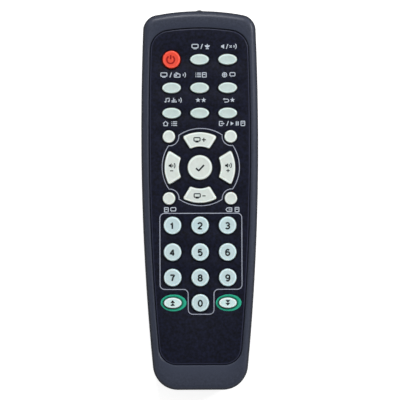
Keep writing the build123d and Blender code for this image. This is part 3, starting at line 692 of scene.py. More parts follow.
def front_abs(colour):
    """Satin ABS from a spark-eroded mould: an even grain softens highlights, rubbed smoother on the rim, with
    a painted highlight along the rim's crest and painted shade low on its rounding.
    """
    made, shader = new_material("satin_abs_front", colour, 0.6, specular=0.3)
    speckle(shader, colour, 1.0, 0.28)
    # Painted highlight along the rim's crest and painted shade on its coarse outer rounding, alongside the
    # smoother and rougher finish
    mark = painted_edge_light(shader, colour, 1.22, 0.003, 0.6)
    roughen(shader, mark, 0.95, 0.28, -1.0)
    # The mould's real grain is about 0.15 mm; 0.4 mm is the finest that still shows from a metre away
    relief(shader, 0.4, 0.05, 3)
    return made


def side_abs_painted_shade(rim_colour, back_colour):
    """The same ABS on the drafted side walls, left rough by coarse side cores: it hardly shines, and its
    colour is darkened as painted shade.
    """
    # Painted shade: its colour is darkened to three quarters and taken halfway to the back's grey, so it
    # looks darker than the same plastic on the rim, and nearly as grey as the back
    colour = between([c * 0.75 for c in rim_colour], back_colour, 0.5)
    made, shader = new_material("coarse_abs_side_painted_shade", colour, 0.7, specular=0.12)
    speckle(shader, colour, 0.9, 0.14)
    relief(shader, 0.5, 0.08, 3)
    return made


def back_abs(colour):
    """Textured ABS for the hand: the same plastic with a leather-like grain, duller than the front."""
    made, shader = new_material("textured_abs_back", colour, 0.62, specular=0.22)
    speckle(shader, colour, 0.8, 0.14)
    relief(shader, 0.9, 0.06, 0, "ShaderNodeTexVoronoi", feature="SMOOTH_F1")
    return made


def panel_lacquer(colour):
    """Matt lacquered panel: a soft-touch blue-black coat with a fine uneven grain that catches the light,
    with a painted highlight on its rounded edge and painted shade down its flank.
    """
    made, shader = new_material("matt_lacquer_panel", colour, 0.5, specular=0.17)
    speckle(shader, colour, 1.2, 0.65)
    # Painted highlight along the plate's rounded edge and painted shade down its flank
    mark = painted_edge_light(shader, colour, 3.0, 0.02, 0.7)
    roughen(shader, mark, 0.5, 0.3)
    # The lacquer's real grain is finer; 0.6 mm is drawn so that it shows
    relief(shader, 0.6, 0.05, 4)
    return made


def silicone(name, colour):
    """Moulded silicone rubber: milky, soft-edged and slightly greasy, with light that sinks in a little; a
    painted highlight along the crest and painted shade low in the opening.
    """
    made, shader = new_material(name, colour, 0.42, specular=0.35)
    depths = {"Subsurface Weight": 0.3, "Subsurface Scale": 0.8 * MM, "Subsurface Radius": (1.0, 0.8, 0.7)}
    fill(shader, depths)
    roughen(shader, speckle(shader, colour, 1.6, 0.04), 0.36, 0.5)
    # Painted highlight along each cap's crest and painted shade low in its opening and under the panel
    painted_edge_light(shader, colour, 1.2, 0.02, 0.75)
    relief(shader, 0.5, 0.012)
    return made


def ink(name, colour):
    """Screen-printed ink: a thin even film, a little patchy where the mesh left it."""
    made, shader = new_material(name, colour, 0.5, specular=0.25)
    speckle(shader, colour, 0.5, 0.1)
    return made


def metal(name, colour, roughness, grain=0.2, warp=(1, 1, 1)):
    """Bare or plated metal, with fine marks along its working direction."""
    made, shader = new_material(name, colour, roughness, metallic=1.0)
    roughen(shader, speckle(shader, colour, grain, 0.08, warp), roughness * 0.8, roughness * 1.3)
    return made


def moulded(name, colour, roughness, specular=0.5):
    """A plain moulded or dipped surface with a slight unevenness."""
    made, shader = new_material(name, colour, roughness, specular=specular)
    speckle(shader, colour, 0.3, 0.08)
    relief(shader, 0.3, 0.01)
    return made


def cell_sleeve(dark, band, split, way):
    """Shrink-wrapped printed sleeve, glossy: dark, with a paler band beyond a split, at the plus end."""
    made, shader = new_material("printed_sleeve_" + str(round(split)), dark, 0.25)
    tree = shader.id_data
    place = add(tree, "ShaderNodeTexCoord").outputs["Object"]
    along = add(tree, "ShaderNodeSeparateXYZ", {0: place}).outputs["Y"]
    operation = "GREATER_THAN" if way > 0 else "LESS_THAN"
    side = add(tree, "ShaderNodeMath", {0: along, 1: split * MM}, operation=operation).outputs[0]
    colours = {"Factor": side, 6: (*dark, 1), 7: (*band, 1)}
    fill(shader, {"Base Color": add(tree, "ShaderNodeMix", colours, data_type="RGBA").outputs[2]})
    relief(shader, 3, 0.02)
    return made


def tinted_epoxy(colour):
    """Clear epoxy with a smoke tint that lets infrared through: almost black, with a wet shine."""
    made, shader = new_material("tinted_epoxy_lamp", colour, 0.25, specular=0.25)
    fill(shader, {"Coat Weight": 0.05, "Coat Roughness": 0.1})
    roughen(shader, speckle(shader, colour, 0.8, 0.1), 0.2, 0.3)
    return made


# Operators


def outlines(levels):
    """Rings of the case's outline at insets and heights."""
    return [level(outer_loop(inset), height) for inset, height in levels]


def rim_light_mark(turn):
    """The mark on the rim's rounding at a turn in degrees: below 0 where coarse, for painted shade, and near
    1 on the crest, for a painted highlight.
    """
    if turn < COARSE_SHADE_END:
        return max(-1, (turn - COARSE_SHADE_END) / COARSE_SHADE_FADE)
    return max(0, 1 - abs(turn - CREST) / CREST_FADE)


def front_form(radius):
    """Rings of the front shell and their marks: up the outside, over the rim and down the inside."""
    lean = radians(FRONT_DRAFT)
    rise = BEZEL - PARTING - radius
    centre = rise * tan(lean) + radius / cos(lean)
    levels = [(SEAM, 0.0, 0), (SEAM * 0.3, SEAM * 0.3, 0), (SEAM * 0.01, SEAM, 0)]
    levels.append((rise * 0.5 * tan(lean), rise * 0.5, 0))
    for turn in quarter(12, lean):
        levels.append((centre - radius * cos(turn), rise + radius * sin(turn), rim_light_mark(degrees(turn))))
    # The rounding is wider over the head end
    rings = [level(outer_loop(inset, HEAD_SWEEP), PARTING + height) for inset, height, _ in levels]
    marks = [mark for *_, mark in levels]
    for share, drop, mark in BANK_LEVELS:
        loop = case_loop(*between(BANK, RECESS, share))
        rings.append(level(loop, BEZEL - drop))
        # The bank gets a painted highlight where it faces the head end and its lamp, from the tail to the end
        # of its corners
        facing = [min(1, max(0, (TAIL_Y + RECESS[1] + RECESS[3] - y) / RECESS[3])) for _, y in loop]
        marks.append([mark + (1 - mark) * toward for toward in facing])
    rings.append(level(case_loop(*RECESS), PLATE_SEAT))
    rings += [level(deck_loop(), height) for height in (PLATE_SEAT, PLATE_BOTTOM)]
    rim, root = RIM_OUTER - RIM_GAP, PARTING + LIP + RIM_GAP
    rings += outlines([(WALL, PLATE_BOTTOM), (WALL, root), (rim, root), (rim, PARTING)])
    # Painted shade on the recess wall, the ledge and the shell's inside
    return rings, marks + [-1] * (len(rings) - len(marks))


def back_levels(inset=0.0, floor=0.0):
    """Insets and heights down the rear shell's side and round its edge, for its outside or its inside."""
    radius = BACK_EDGE - inset
    lean = radians(BACK_DRAFT)
    depth = PARTING - floor - radius
    centre = inset + depth * tan(lean) + radius / cos(lean)
    edge = [(centre - radius * cos(turn), PARTING - depth - radius * sin(turn)) for turn in quarter(12, lean)]
    return [(inset, PARTING), *edge]


def seamed(levels):
    """The same levels with a small bevel at the parting line."""
    (inset, top), *rest = levels
    return [(inset + SEAM, top), (inset + SEAM * 0.3, top - SEAM * 0.3), (inset, top - SEAM), *rest]


def lamp_cutter():
    """What is cut from both shells round the lamp: its hole and the shallow dish."""
    profile = [(-LAMP_LENGTH, LAMP_DISH[0][1]), *LAMP_DISH]
    return lathe("lamp_cutter", profile, (0, HEAD_Y, PARTING), (0, 1, 0), 48)


class REMOTE_OT_front_shell(bpy.types.Operator):
    """Front shell: rounded rim, bank down to the panel, ledge and cavity"""

    bl_idname = "remote.front_shell"
    bl_label = "Front shell"

    def execute(self, context):
        case = context.scene.remote_case
        radius = case.edge_radius / MM
        rings, marks = front_form(radius)
        shell = skin("front_case", rings, closed=True, marks=marks)
        carve(shell, lamp_cutter())
        settle(shell, "case", front_abs(case.front_colour), ["front_shell"])
        wall_top = (BEZEL - radius) * MM
        side = side_abs_painted_shade(case.front_colour, case.back_colour)
        # Painted shade: the steep side walls below the rim's rounding take the darkened side material
        dress(shell, side, lambda face: face.center.z < wall_top and abs(face.normal.z) < 0.3)
        return {"FINISHED"}


class REMOTE_OT_rear_shell(bpy.types.Operator):
    """Rear shell: rounded back, battery bay, rails for the door and seat of the screw"""

    bl_idname = "remote.rear_shell"
    bl_label = "Rear shell"

    def execute(self, context):
        case = context.scene.remote_case
        outside = outlines(reversed(seamed(back_levels())))
        rim = [(TONGUE, PARTING), (TONGUE, PARTING + LIP), (WALL, PARTING + LIP)]
        shell = skin("rear_case", outside + outlines([*rim, *back_levels(WALL, WALL)]))
        along = (TAIL_Y - PAST, DOOR_END + RAIL_BED)
        rails = slab("rails", RAIL_HALF + RAIL_BED, along, (FLOOR_MIDDLE, RAIL_ROOF))
        carve(rails, skin("form", outside + outlines([(SEAM, PARTING)])), "INTERSECT")
        carve(shell, rails, "UNION")
        low, high = part_box("bridge_contact")[0].y, part_box("negative_contact")[1].y
        bay = slab("bay", BAY_HALF + BAY_WALL, (low - BAY_WALL, high + BAY_WALL), (FLOOR_MIDDLE, BAY_ROOF))
        carve(shell, bay, "UNION")
        carve(shell, slab("room", BAY_HALF, (low, high), (-PAST, CELL_Z)))
        for side in (-1, 1):
            ends = [(0, CELL_ROOM), (high - low, CELL_ROOM)]
            carve(shell, lathe("trough", ends, (side * CELL_X, low, CELL_Z), (0, 1, 0)))
        along = (TAIL_Y - PAST, DOOR_END + DOOR_GAP)
        carve(shell, slab("door_room", DOOR_HALF + DOOR_GAP, along, (-PAST, FLOOR_TOP)))
        carve(shell, slab("rail_room", RAIL_HALF + DOOR_GAP, along, (RAIL_LOW - DOOR_GAP, FLOOR_TOP)))
        place = (0, part_middle("case_screw").y, FLOOR_TOP)
        carve(shell, lathe("screw_seat", SCREW_SEAT, place, (0, 0, 1), 48))
        carve(shell, lamp_cutter())
        settle(shell, "case", back_abs(case.back_colour), ["rear_shell"])
        return {"FINISHED"}


class REMOTE_OT_battery_door(bpy.types.Operator):
    """Battery door: a slice of the back with rails, grip grooves and an arrow"""

    bl_idname = "remote.battery_door"
    bl_label = "Battery door"

    def execute(self, context):
        case = context.scene.remote_case
        along = (TAIL_Y - PAST, DOOR_END)
        door = slab("door", DOOR_HALF, along, (-PAST, DOOR_TOP))
        carve(door, slab("rails", RAIL_HALF, along, (RAIL_LOW, DOOR_TOP)), "UNION")
        carve(door, skin("form", outlines(reversed(back_levels()))), "INTERSECT")
        # One groove, a stadium in plan with a round bottom, repeated along the door
        end, depth = case.grip_length / MM / 2 - GROOVE_HALF, case.grip_depth / MM
        rings = []
        for share in GROOVE_SHARES:
            half = GROOVE_HALF * sqrt(1 - max(share, 0) ** 2)
            right = [*arc((end, 0), half, -pi / 2, pi / 2, 8), (end, half)]
            rings.append(level([*right, *[(-x, -y) for x, y in right]], share * depth))
        groove = skin("groove", rings)
        run_tree(groove, row_tree(), {"Count": GROOVES, "Pitch": case.grip_pitch})
        first_y = TAIL_Y + FIRST_GROOVE
        groove.data.transform(Matrix.Translation((0, first_y * MM, 0)))
        carve(door, groove)
        tip_y = first_y + GROOVES * case.grip_pitch / MM + ARROW_GAP
        arrow = [(0, tip_y), (ARROW_HALF, tip_y + ARROW_LENGTH), (-ARROW_HALF, tip_y + ARROW_LENGTH)]
        carve(door, skin("arrow", [level(arrow, -PAST), level(arrow, ARROW_DEPTH)]))
        soften(door, DOOR_ROUND)
        settle(door, "battery_door", back_abs(case.back_colour), ["battery_door"])
        return {"FINISHED"}


class REMOTE_OT_face_plate(bpy.types.Operator):
    """Face plate: a thin panel with a rounded edge and an opening for every key"""

    bl_idname = "remote.face_plate"
    bl_label = "Face plate"

    def execute(self, context):
        bm = bmesh.new()
        bm.verts.layers.float.new("edge")
        outline = drawn_in(RECESS, PLATE_GAP)
        # A narrow margin keeps the painted highlight of the rounded edge off the rest of the panel
        levels = [(PLATE_EDGE + PLATE_MARGIN, 0)]
        levels += [(PLATE_EDGE * (1 - sin(turn)), PLATE_EDGE * (1 - cos(turn))) for turn in quarter(4)]
        rings = [level(case_loop(*drawn_in(outline, inset)), PLATE_TOP - drop) for inset, drop in levels]
        rings.append(level(case_loop(*outline), PLATE_SEAT))
        rings += [level(deck_loop(PLATE_GAP), height) for height in (PLATE_SEAT, PLATE_BOTTOM)]
        walls = [wrap(bm, rings, marks=PLATE_LIGHT_MARKS)]
        for name in KEYS:
            rings = []
            for turn in quarter(3):
                grow = KEY_HOLE_GAP + HOLE_EDGE * (1 - sin(turn))
                rings.append(level(key_loop(name, grow), PLATE_TOP - HOLE_EDGE * (1 - cos(turn))))
            walls.append(wrap(bm, [*rings, level(key_loop(name, KEY_HOLE_GAP), PLATE_BOTTOM)]))
        for end in (0, -1):
            edges = [bm.edges.get(pair) for rows in walls for pair in zip(rows[end], after(rows[end]))]
            bmesh.ops.triangle_fill(bm, use_beauty=True, use_dissolve=False, edges=edges)
        bmesh.ops.recalc_face_normals(bm, faces=bm.faces)
        lacquer = panel_lacquer(context.scene.remote_case.plate_colour)
        settle(from_bmesh("key_panel", bm), "case", lacquer, ["face_plate"])
        return {"FINISHED"}


def key_finish(name):
    """Which of the keys' finishes a key has."""
    if name[4:].isdigit():
        return "digit"
    if name in SECTOR_TURNS or name in CORNERS or name == "key_ok":
        return "pad"
    return {"key_power": "power", "key_page_up": "page", "key_page_down": "page"}.get(name, "function")


def key_dish(name, sizes):
    """How deep a key's top is dished, in millimetres: the pad's sectors are almost flat."""
    return SECTOR_DISH if name in SECTOR_TURNS else sizes.dish / MM


def key_form(name, sizes):
    """Rings of a key and their marks: up the pill, round the foot, up the cap and over its top."""
    low, high = (corner.z for corner in part_box(name))
    red = name == "key_power"
    # The power key flares a little more, so that its red flank shows in its opening
    flare = POWER_FLARE if red else 0.0
    radius, draft = sizes.edge_radius / MM, sizes.draft / MM + flare
    foot_top = PLATE_BOTTOM - FOOT_GAP
    foot = foot_top - FOOT_THICK
    pill = key_loop(name, 0, PILL_REACH / max(key_half(name)))
    rings = [level(pill, height) for height in (low, foot)]
    rings += [level(key_loop(name, FOOT), height) for height in (foot, foot_top)]
    rings.append(level(key_loop(name, flare), foot_top))
    # Painted shade on the pill, the foot and the flank under the panel; the power key is left unshaded so
    # that its red shows in its gap
    marks = [0 if red else -1] * len(rings)
    for turn in quarter(len(CAP_LIGHT_MARKS) - 1):
        inset = draft + radius * (1 - cos(turn))
        rings.append(level(key_loop(name, -inset), high - radius * (1 - sin(turn))))
    for share, _ in CAP_TOP:
        height = high - key_dish(name, sizes) * (1 if name in SECTOR_TURNS else 1 - share**2)
        rings.append(level(key_loop(name, -radius - draft, share), height))
    return rings, [*marks, *CAP_LIGHT_MARKS, *(mark for _, mark in CAP_TOP)]


class REMOTE_OT_keys(bpy.types.Operator):
    """Silicone keys, each with a rounded edge, a shallow dish, a foot under the panel and a contact pill"""

    bl_idname = "remote.keys"
    bl_label = "Keys"

    def execute(self, context):
        sizes = context.scene.remote_keys
        colours = {
            "digit": sizes.digit_colour,
            "pad": sizes.pad_colour,
            "function": sizes.oval_colour,
            "page": sizes.page_colour,
            "power": sizes.power_colour,
        }
        rubber = {kind: silicone("silicone_" + kind, colour) for kind, colour in colours.items()}
        for name in KEYS:
            rings, marks = key_form(name, sizes)
            key = skin(name + "_cap", rings, marks=marks)
            settle(key, name, rubber[key_finish(name)], [name], sharp=50)
        return {"FINISHED"}


# Printed signs, each a list of lines, closed loops and filled shapes, in millimetres about its middle

LINE, LOOP, FILL = "line", "loop", "fill"
QUARTERS = ((1, 1), (-1, 1), (-1, -1), (1, -1))


def oblong(x, y, half_x, half_y):
    """The corners of an upright box."""
    return [(x + way_x * half_x, y + way_y * half_y) for way_x, way_y in QUARTERS]


def round_box(x, y, half_x, half_y, corner):
    """A closed box with round corners."""
    points = []
    for quadrant, middle in enumerate(oblong(x, y, half_x - corner, half_y - corner)):
        points += bow(*middle, corner, corner, 90 * quadrant, 90 * quadrant + 90, 4)
    return LOOP, points


def line(*points):
    """An open line through points."""
    return LINE, list(points)


def patch(*points):
    """A filled shape round points."""
    return FILL, list(points)


def dash(x, y, half):
    """A level line."""
    return line((x - half, y), (x + half, y))


def upright(x, y, half):
    """An upright line."""
    return line((x, y - half), (x, y + half))


def plus(x, y, half):
    """A plus sign."""
    return [dash(x, y, half), upright(x, y, half)]


def bar(*place):
    """A filled upright box."""
    return patch(*oblong(*place))


def hoop(x, y, half_x, half_y):
    """A closed ellipse."""
    return LOOP, bow(x, y, half_x, half_y)[:-1]


def disc(x, y, half_x, half_y):
    """A filled ellipse."""
    return patch(*bow(x, y, half_x, half_y)[:-1])


def triangle(x, y, half_x, half_y):
    """A filled triangle that points up, or down where its half height is negative."""
    return patch((x - half_x, y - half_y), (x + half_x, y - half_y), (x, y + half_y))


def moved(shapes, dx, dy):
    """The same shapes somewhere else."""
    return [(kind, [(x + dx, y + dy) for x, y in points]) for kind, points in shapes]


STAR = [(reach * sin(pi * k / 5), reach * cos(pi * k / 5)) for k, reach in enumerate((1.25, 0.52) * 5)]
BARS = ((-0.95, 0.55), (-0.32, 1.1), (0.32, 0.8), (0.95, 0.4))
ROWS = (0.85, 0, -0.85)
# Plain signs about 2.2 mm tall, each with its width
PICTOGRAMS = {
    "screen": (3.2, [round_box(0, 0.22, 1.45, 0.82, 0.3), line((0, -0.6), (0, -1.05)), dash(0, -1.05, 0.75)]),
    "dish": (2.6, [
        patch(*bow(0, 0.55, 1.2, 1.0, 180, 360)),
        line((0, 0.4), (0, 1.15)),
        line((0, -0.4), (0, -1.05)),
        dash(0, -1.05, 0.7),
    ]),
    "slash": (1.1, [line((-0.4, -1.15), (0.4, 1.15))]),
    "speaker": (1.7, [
        patch((-0.8, -0.45), (-0.25, -0.45), (0.6, -1.1), (0.6, 1.1), (-0.25, 0.45), (-0.8, 0.45)),
    ]),
    "cross": (1.3, [line((-0.5, -0.5), (0.5, 0.5)), line((-0.5, 0.5), (0.5, -0.5))]),
    "waves": (1.5, [line(*bow(-1.3, 0, 0.9, 0.9, -35, 35, 8)), line(*bow(-1.3, 0, 1.9, 1.9, -38, 38, 10))]),
    "notes": (2.4, [
        disc(-0.75, -0.75, 0.45, 0.34),
        disc(0.8, -0.55, 0.45, 0.34),
        line((-0.42, -0.7), (-0.42, 0.8)),
        line((1.13, -0.5), (1.13, 1.0)),
        patch((-0.6, 0.55), (1.3, 0.75), (1.3, 1.2), (-0.6, 1.0)),
    ]),
    "bars": (2.4, [bar(x, half - 1.1, 0.2, half) for x, half in BARS]),
    "star": (2.5, [patch(*STAR)]),
    "globe": (2.3, [hoop(0, 0, 1.05, 1.05), *plus(0, 0, 1.05)]),
    "bubble": (2.7, [round_box(0, 0.25, 1.2, 0.8, 0.4), patch((-0.75, -0.5), (-0.1, -0.5), (-0.85, -1.15))]),
    "return": (2.9, [
        line((-0.9, 0.45), (0.6, 0.45), *bow(0.6, -0.25, 0.7, 0.7, 80, -90, 10), (-0.7, -0.95)),
        patch((-1.45, 0.45), (-0.7, 1.05), (-0.7, -0.15)),
    ]),
    "house": (2.7, [
        line((-1.25, 0.05), (0, 1.1), (1.25, 0.05)),
        line((-0.85, 0.3), (-0.85, -1.0), (0.85, -1.0), (0.85, 0.3)),
    ]),
    "list": (2.8, [shape for y in ROWS for shape in (bar(-1.15, y, 0.2, 0.2), dash(0.35, y, 0.95))]),
    "door": (2.6, [
        line((0.25, 0.55), (0.25, 1.0), (-1.15, 1.0), (-1.15, -1.0), (0.25, -1.0), (0.25, -0.55)),
        line((-0.45, 0), (0.8, 0)),
        patch((1.35, 0), (0.7, 0.5), (0.7, -0.5)),
    ]),
    "play": (1.7, [patch((-0.65, -0.95), (0.75, 0), (-0.65, 0.95))]),
    "pause": (1.6, [bar(-0.42, 0, 0.24, 1.0), bar(0.42, 0, 0.24, 1.0)]),
    "page": (2.0, [(LOOP, oblong(0, 0, 0.9, 1.05)), dash(0, 0.2, 0.45)]),
    "radio": (3.0, [
        round_box(0, -0.3, 1.35, 0.75, 0.25),
        disc(-0.55, -0.3, 0.42, 0.42),
        line((1.0, 0.5), (-0.7, 1.2)),
    ]),
    "tag": (3.1, [
        (LOOP, [(-1.45, 0), (-0.75, 0.9), (1.35, 0.9), (1.35, -0.9), (-0.75, -0.9)]),
        line((-0.1, -0.38), (0.66, 0.38)),
        line((-0.1, 0.38), (0.66, -0.38)),
    ]),
}
# The ten digits as plain round strokes, 3.6 mm tall with their line's width
DIGITS = (
    [hoop(0, 0, 0.88, 1.4)],
    [line((-0.95, 0.66), (-0.4, 0.86), (-0.07, 1.4), (-0.07, -1.45))],
    [line(*bow(-0.04, 0.6, 0.88, 0.8, 170, -35), (-0.98, -1.4), (0.88, -1.4))],
    [
        line(*bow(-0.03, 0.7, 0.82, 0.7, 155, -85)),
        line(*bow(-0.03, -0.66, 0.9, 0.76, 85, -155)),
        line((-0.3, 0.04), (0.15, 0.04)),
    ],
    [line((0.28, -1.42), (0.28, 1.36), (-1.1, -0.6), (0.85, -0.6))],
    [line((0.76, 1.38), (-0.56, 1.38), (-0.78, 0.02), *bow(0, -0.5, 0.88, 0.88, 142, -150))],
    [hoop(0, -0.54, 0.88, 0.84), line(*bow(0.06, 0, 0.94, 1.4, 48, 200))],
    [line((-1.08, 1.38), (0.86, 1.38), (0.2, 0.3), (-0.28, -1.42))],
    [hoop(0, 0.72, 0.74, 0.67), hoop(0, -0.66, 0.88, 0.74)],
    [hoop(0, 0.54, 0.88, 0.84), line(*bow(-0.06, 0, 0.94, 1.4, 228, 380))],
)
SCREEN, SPEAKER, WAVES = (PICTOGRAMS[name][1] for name in ("screen", "speaker", "waves"))
SOUND = moved(SPEAKER, -0.6, 0.95) + moved(WAVES, 1.0, 0.95)
# The shapes on each key, and the width of their lines
KEY_SIGNS = {
    "key_power": ([line(*bow(-0.35, -0.1, 1.82, 1.82, 122, 418, 24)), upright(-0.35, 1.1, 1.0)], 0.75),
    "key_ok": ([line((-1.85, -0.35), (-0.55, -1.6), (2.0, 1.15))], 0.8),
    "key_channel_up": (moved(SCREEN, -1.3, -0.2) + plus(1.95, -0.2, 0.95), 0.5),
    "key_channel_down": ([*moved(SCREEN, -1.3, -0.06), dash(1.95, -0.06, 0.75)], 0.5),
    "key_volume_down": ([*SOUND, dash(0, -1.5, 0.75)], 0.46),
    "key_volume_up": (SOUND + plus(0, -1.5, 0.8), 0.46),
    "key_page_up": ([triangle(0, y, 1.15, 0.685) for y in (0.685, -0.685)], 0.3),
    "key_page_down": ([triangle(0, y, 1.15, -0.685) for y in (0.685, -0.685)], 0.3),
    **{f"key_{digit}": (moved(shapes, 0, -0.2), 0.76) for digit, shapes in enumerate(DIGITS)},
}
# Signs over the keys, or under some, and how wide each group may be
LABEL_RISE, LABEL_DROP, MOST_SPREAD = 6.2, 5.4, 1.5
LABELS_UNDER = ("info", "clear")
LABELS = {
    "input": (("screen", "slash", "dish"), 10.0),
    "mute": (("speaker", "slash", "cross", "waves"), 8.1),
    "radio": (("screen", "slash", "radio", "waves"), 13.8),
    "guide": (("list", "page"), 5.7),
    "language": (("globe", "bubble"), 7.6),
    "audio": (("notes", "bars", "waves"), 9.0),
    "favourites": (("star", "star"), 5.3),
    "back": (("return", "star"), 6.2),
    "menu": (("house", "list"), 8.6),
    "exit": (("door", "slash", "play", "pause", "page"), 15.3),
    "info": (("page", "bubble"), 6.6),
    "clear": (("tag", "page"), 9.1),
}
# The green rings: half their width and length, and their low crown from the opening out, as shares and lifts
RING_HALVES, RING_GAP = (6.15, 4.0), 0.06
RING_CROWN = ((0, -0.05), (0, 0.03), (0.35, 0.05), (0.5, 0.1), (0.75, 0.12), (0.95, 0.06), (1, -0.05))
# The ring's wall and inner band beside the key, which take the darker green as painted shade
RING_SHADE_FACES = 2 * KEY_STEPS


def finely(points, closed, step=0.5):
    """The same line with points no further apart than a step."""
    out = []
    for first, second in zip(points, after(points) if closed else points[1:]):
        count = max(1, round(hypot(second[0] - first[0], second[1] - first[1]) / step))
        out += [between(first, second, part / count) for part in range(count)]
    return out if closed else [*out, points[-1]]


def drawn(name, shapes, width, thickness, stripe):
    """Lines, loops and filled shapes in millimetres as a film of ink about the origin, in metres."""
    lines, fills = bmesh.new(), bmesh.new()
    for kind, points in shapes:
        if kind == FILL:
            low, high = wrap(fills, [level(points, side * thickness / MM) for side in (-1, 1)])
            fills.faces.new(reversed(low))
            fills.faces.new(high)
            continue
        verts = [lines.verts.new(point) for point in level(finely(points, kind == LOOP), 0)]
        for pair in zip(verts, after(verts) if kind == LOOP else verts[1:]):
            lines.edges.new(pair)
    bmesh.ops.recalc_face_normals(fills, faces=fills.faces)
    strokes = from_bmesh(name, lines)
    run_tree(strokes, stripe, {"Width": width, "Thickness": 2 * thickness})
    return join(name, [strokes, from_bmesh(name, fills)])


def laid(film, place, surface):
    """Moves a film to its place, in millimetres, over a surface given as a height at X and Y."""
    for vert in film.data.vertices:
        x, y = vert.co.x + place[0] * MM, vert.co.y + place[1] * MM
        vert.co = (x, y, vert.co.z + surface(x / MM, y / MM) * MM)
    return film


def on_plate(x, y):
    """The panel's height, the same everywhere."""
    return PLATE_TOP


class REMOTE_OT_key_signs(bpy.types.Operator):
    """Digits and plain signs printed on the keys"""

    bl_idname = "remote.key_signs"
    bl_label = "Signs on the keys"

    def execute(self, context):
        sizes, prints = context.scene.remote_keys, context.scene.remote_print
        dark, red = ink("dark_ink", prints.dark_colour), ink("red_ink", prints.red_colour)
        crest = (sizes.edge_radius + sizes.draft) / MM
        stripe = stripe_tree()
        for name in (key for key in KEYS if key in KEY_SIGNS):
            place, top, dish = key_middle(name), part_box(name)[1].z, key_dish(name, sizes)

            def on_key(x, y):
                """The height of this key's dished top."""
                if name in SECTOR_TURNS:
                    return top - dish
                half_x, half_y = key_half(name)
                share = hypot((x - place[0]) / (half_x - crest), (y - place[1]) / (half_y - crest))
                return top - dish * (1 - min(share, 1) ** 2)

            shapes, width = KEY_SIGNS[name]
            film = drawn(name + "_sign", shapes, width * MM, prints.thickness, stripe)
            settle(laid(film, place, on_key), name, red if name == "key_power" else dark)
        return {"FINISHED"}


def pad_outline():
    """The line round the direction pad: a circle with a round notch at each corner key."""
    circle, notch = 18.4, 4.4
    # Like all the print, it sits a little to the right of the keys
    middle = Vector((0.45, PAD_Y + 0.25))
    spots = [Vector(key_middle(name)) + Vector((0.35, 0.05)) for name in CORNERS]
    # For each notch: its direction and, from there, the angles to where the two arcs meet
    cuts = []
    for spot in spots:
        across = spot - middle
        reach = across.length
        half = acos((circle**2 + reach**2 - notch**2) / (2 * circle * reach))
        cut = acos((notch**2 + reach**2 - circle**2) / (2 * notch * reach))
        cuts.append((atan2(across.y, across.x) % (2 * pi), half, cut))
    points = []
    for spot, (way, half, cut), (next_way, next_half, _) in zip(spots, cuts, after(cuts)):
        points += arc(spot, notch, way + pi + cut, way + pi - cut, 14)
        points += arc(middle, circle, way + half, way + (next_way - way) % (2 * pi) - next_half, 20)
    return points


def digit_outline():
    """The line round the digits: a round-cornered box with a neck round the lowest digit."""
    width, neck, top, shoulder, bottom, corner = 19.5, 6.13, -6.45, -42.65, -54.5, 2.2
    right = [(neck, bottom), (neck, shoulder), (width, shoulder), (width, top)]
    corners = [Vector(spot) for spot in (*right, *[(-x, y) for x, y in reversed(right)])]
    points = []
    for before, here, beyond in zip(corners[-1:] + corners, corners, after(corners)):
        back, on = (before - here).normalized(), (beyond - here).normalized()
        centre = here + (back + on) * corner
        start, stop = atan2(-on.y, -on.x), atan2(-back.y, -back.x)
        turn = (stop - start + pi) % (2 * pi) - pi
        points += arc(centre, corner, start, start + turn, 8)
        points.append(tuple(centre - back * corner))
    return points


def label_shapes(words, width):
    """Signs in a row about the middle, spread to the given width or as far as they may be."""
    room = sum(PICTOGRAMS[word][0] for word in words)
    pitch = min(width / room, MOST_SPREAD)
    left, shapes = -pitch * room / 2, []
    for word in words:
        own, drawing = PICTOGRAMS[word]
        shapes += moved(drawing, left + own * pitch / 2, 0)
        left += own * pitch
    return shapes


class REMOTE_OT_panel_print(bpy.types.Operator):
    """Print on the panel: the two outlines, the green rings and the small signs over the keys"""

    bl_idname = "remote.panel_print"
    bl_label = "Print on the panel"

    def execute(self, context):
        prints = context.scene.remote_print
        shift = prints.shift / MM
        stripe = stripe_tree()
        pale = ink("pale_ink", prints.pale_colour)
        for name, dx, loop in (("pad_line", 0, pad_outline()), ("digit_line", shift, digit_outline())):
            film = drawn(name, [(LOOP, loop)], prints.line_width, prints.thickness, stripe)
            settle(laid(film, (dx, 0), on_plate), "case", pale)
        # The darker green material is painted shade of the key on the ring's inner band
        inner, outer = ink("green_ink_painted_shade", prints.ring_shade_colour), ink("green_ink", prints.ring_colour)
        for name in ("key_page_up", "key_page_down"):
            x, y = key_middle(name)
            hole = key_loop(name, KEY_HOLE_GAP + RING_GAP)
            rim = bow(x + shift, y, *RING_HALVES, steps=KEY_STEPS)[:-1]
            rings = []
            for share, lift in RING_CROWN:
                loop = [between(near, far, share) for near, far in zip(hole, rim)]
                rings.append(level(loop, PLATE_TOP + lift))
            ring = skin(name.replace("key", "ring"), rings, closed=True)
            settle(ring, "case", outer)
            dress(ring, inner, lambda face: face.index < RING_SHADE_FACES)
        films = []
        for key, (words, width) in LABELS.items():
            x, y = key_middle("key_" + key)
            film = drawn("label", label_shapes(words, width), prints.stroke, prints.thickness, stripe)
            rise = -LABEL_DROP if key in LABELS_UNDER else LABEL_RISE
            films.append(laid(film, (x + 1.5 * shift, y + rise), on_plate))
        settle(join("panel_labels", films), "case", ink("label_ink", prints.label_colour))
        return {"FINISHED"}


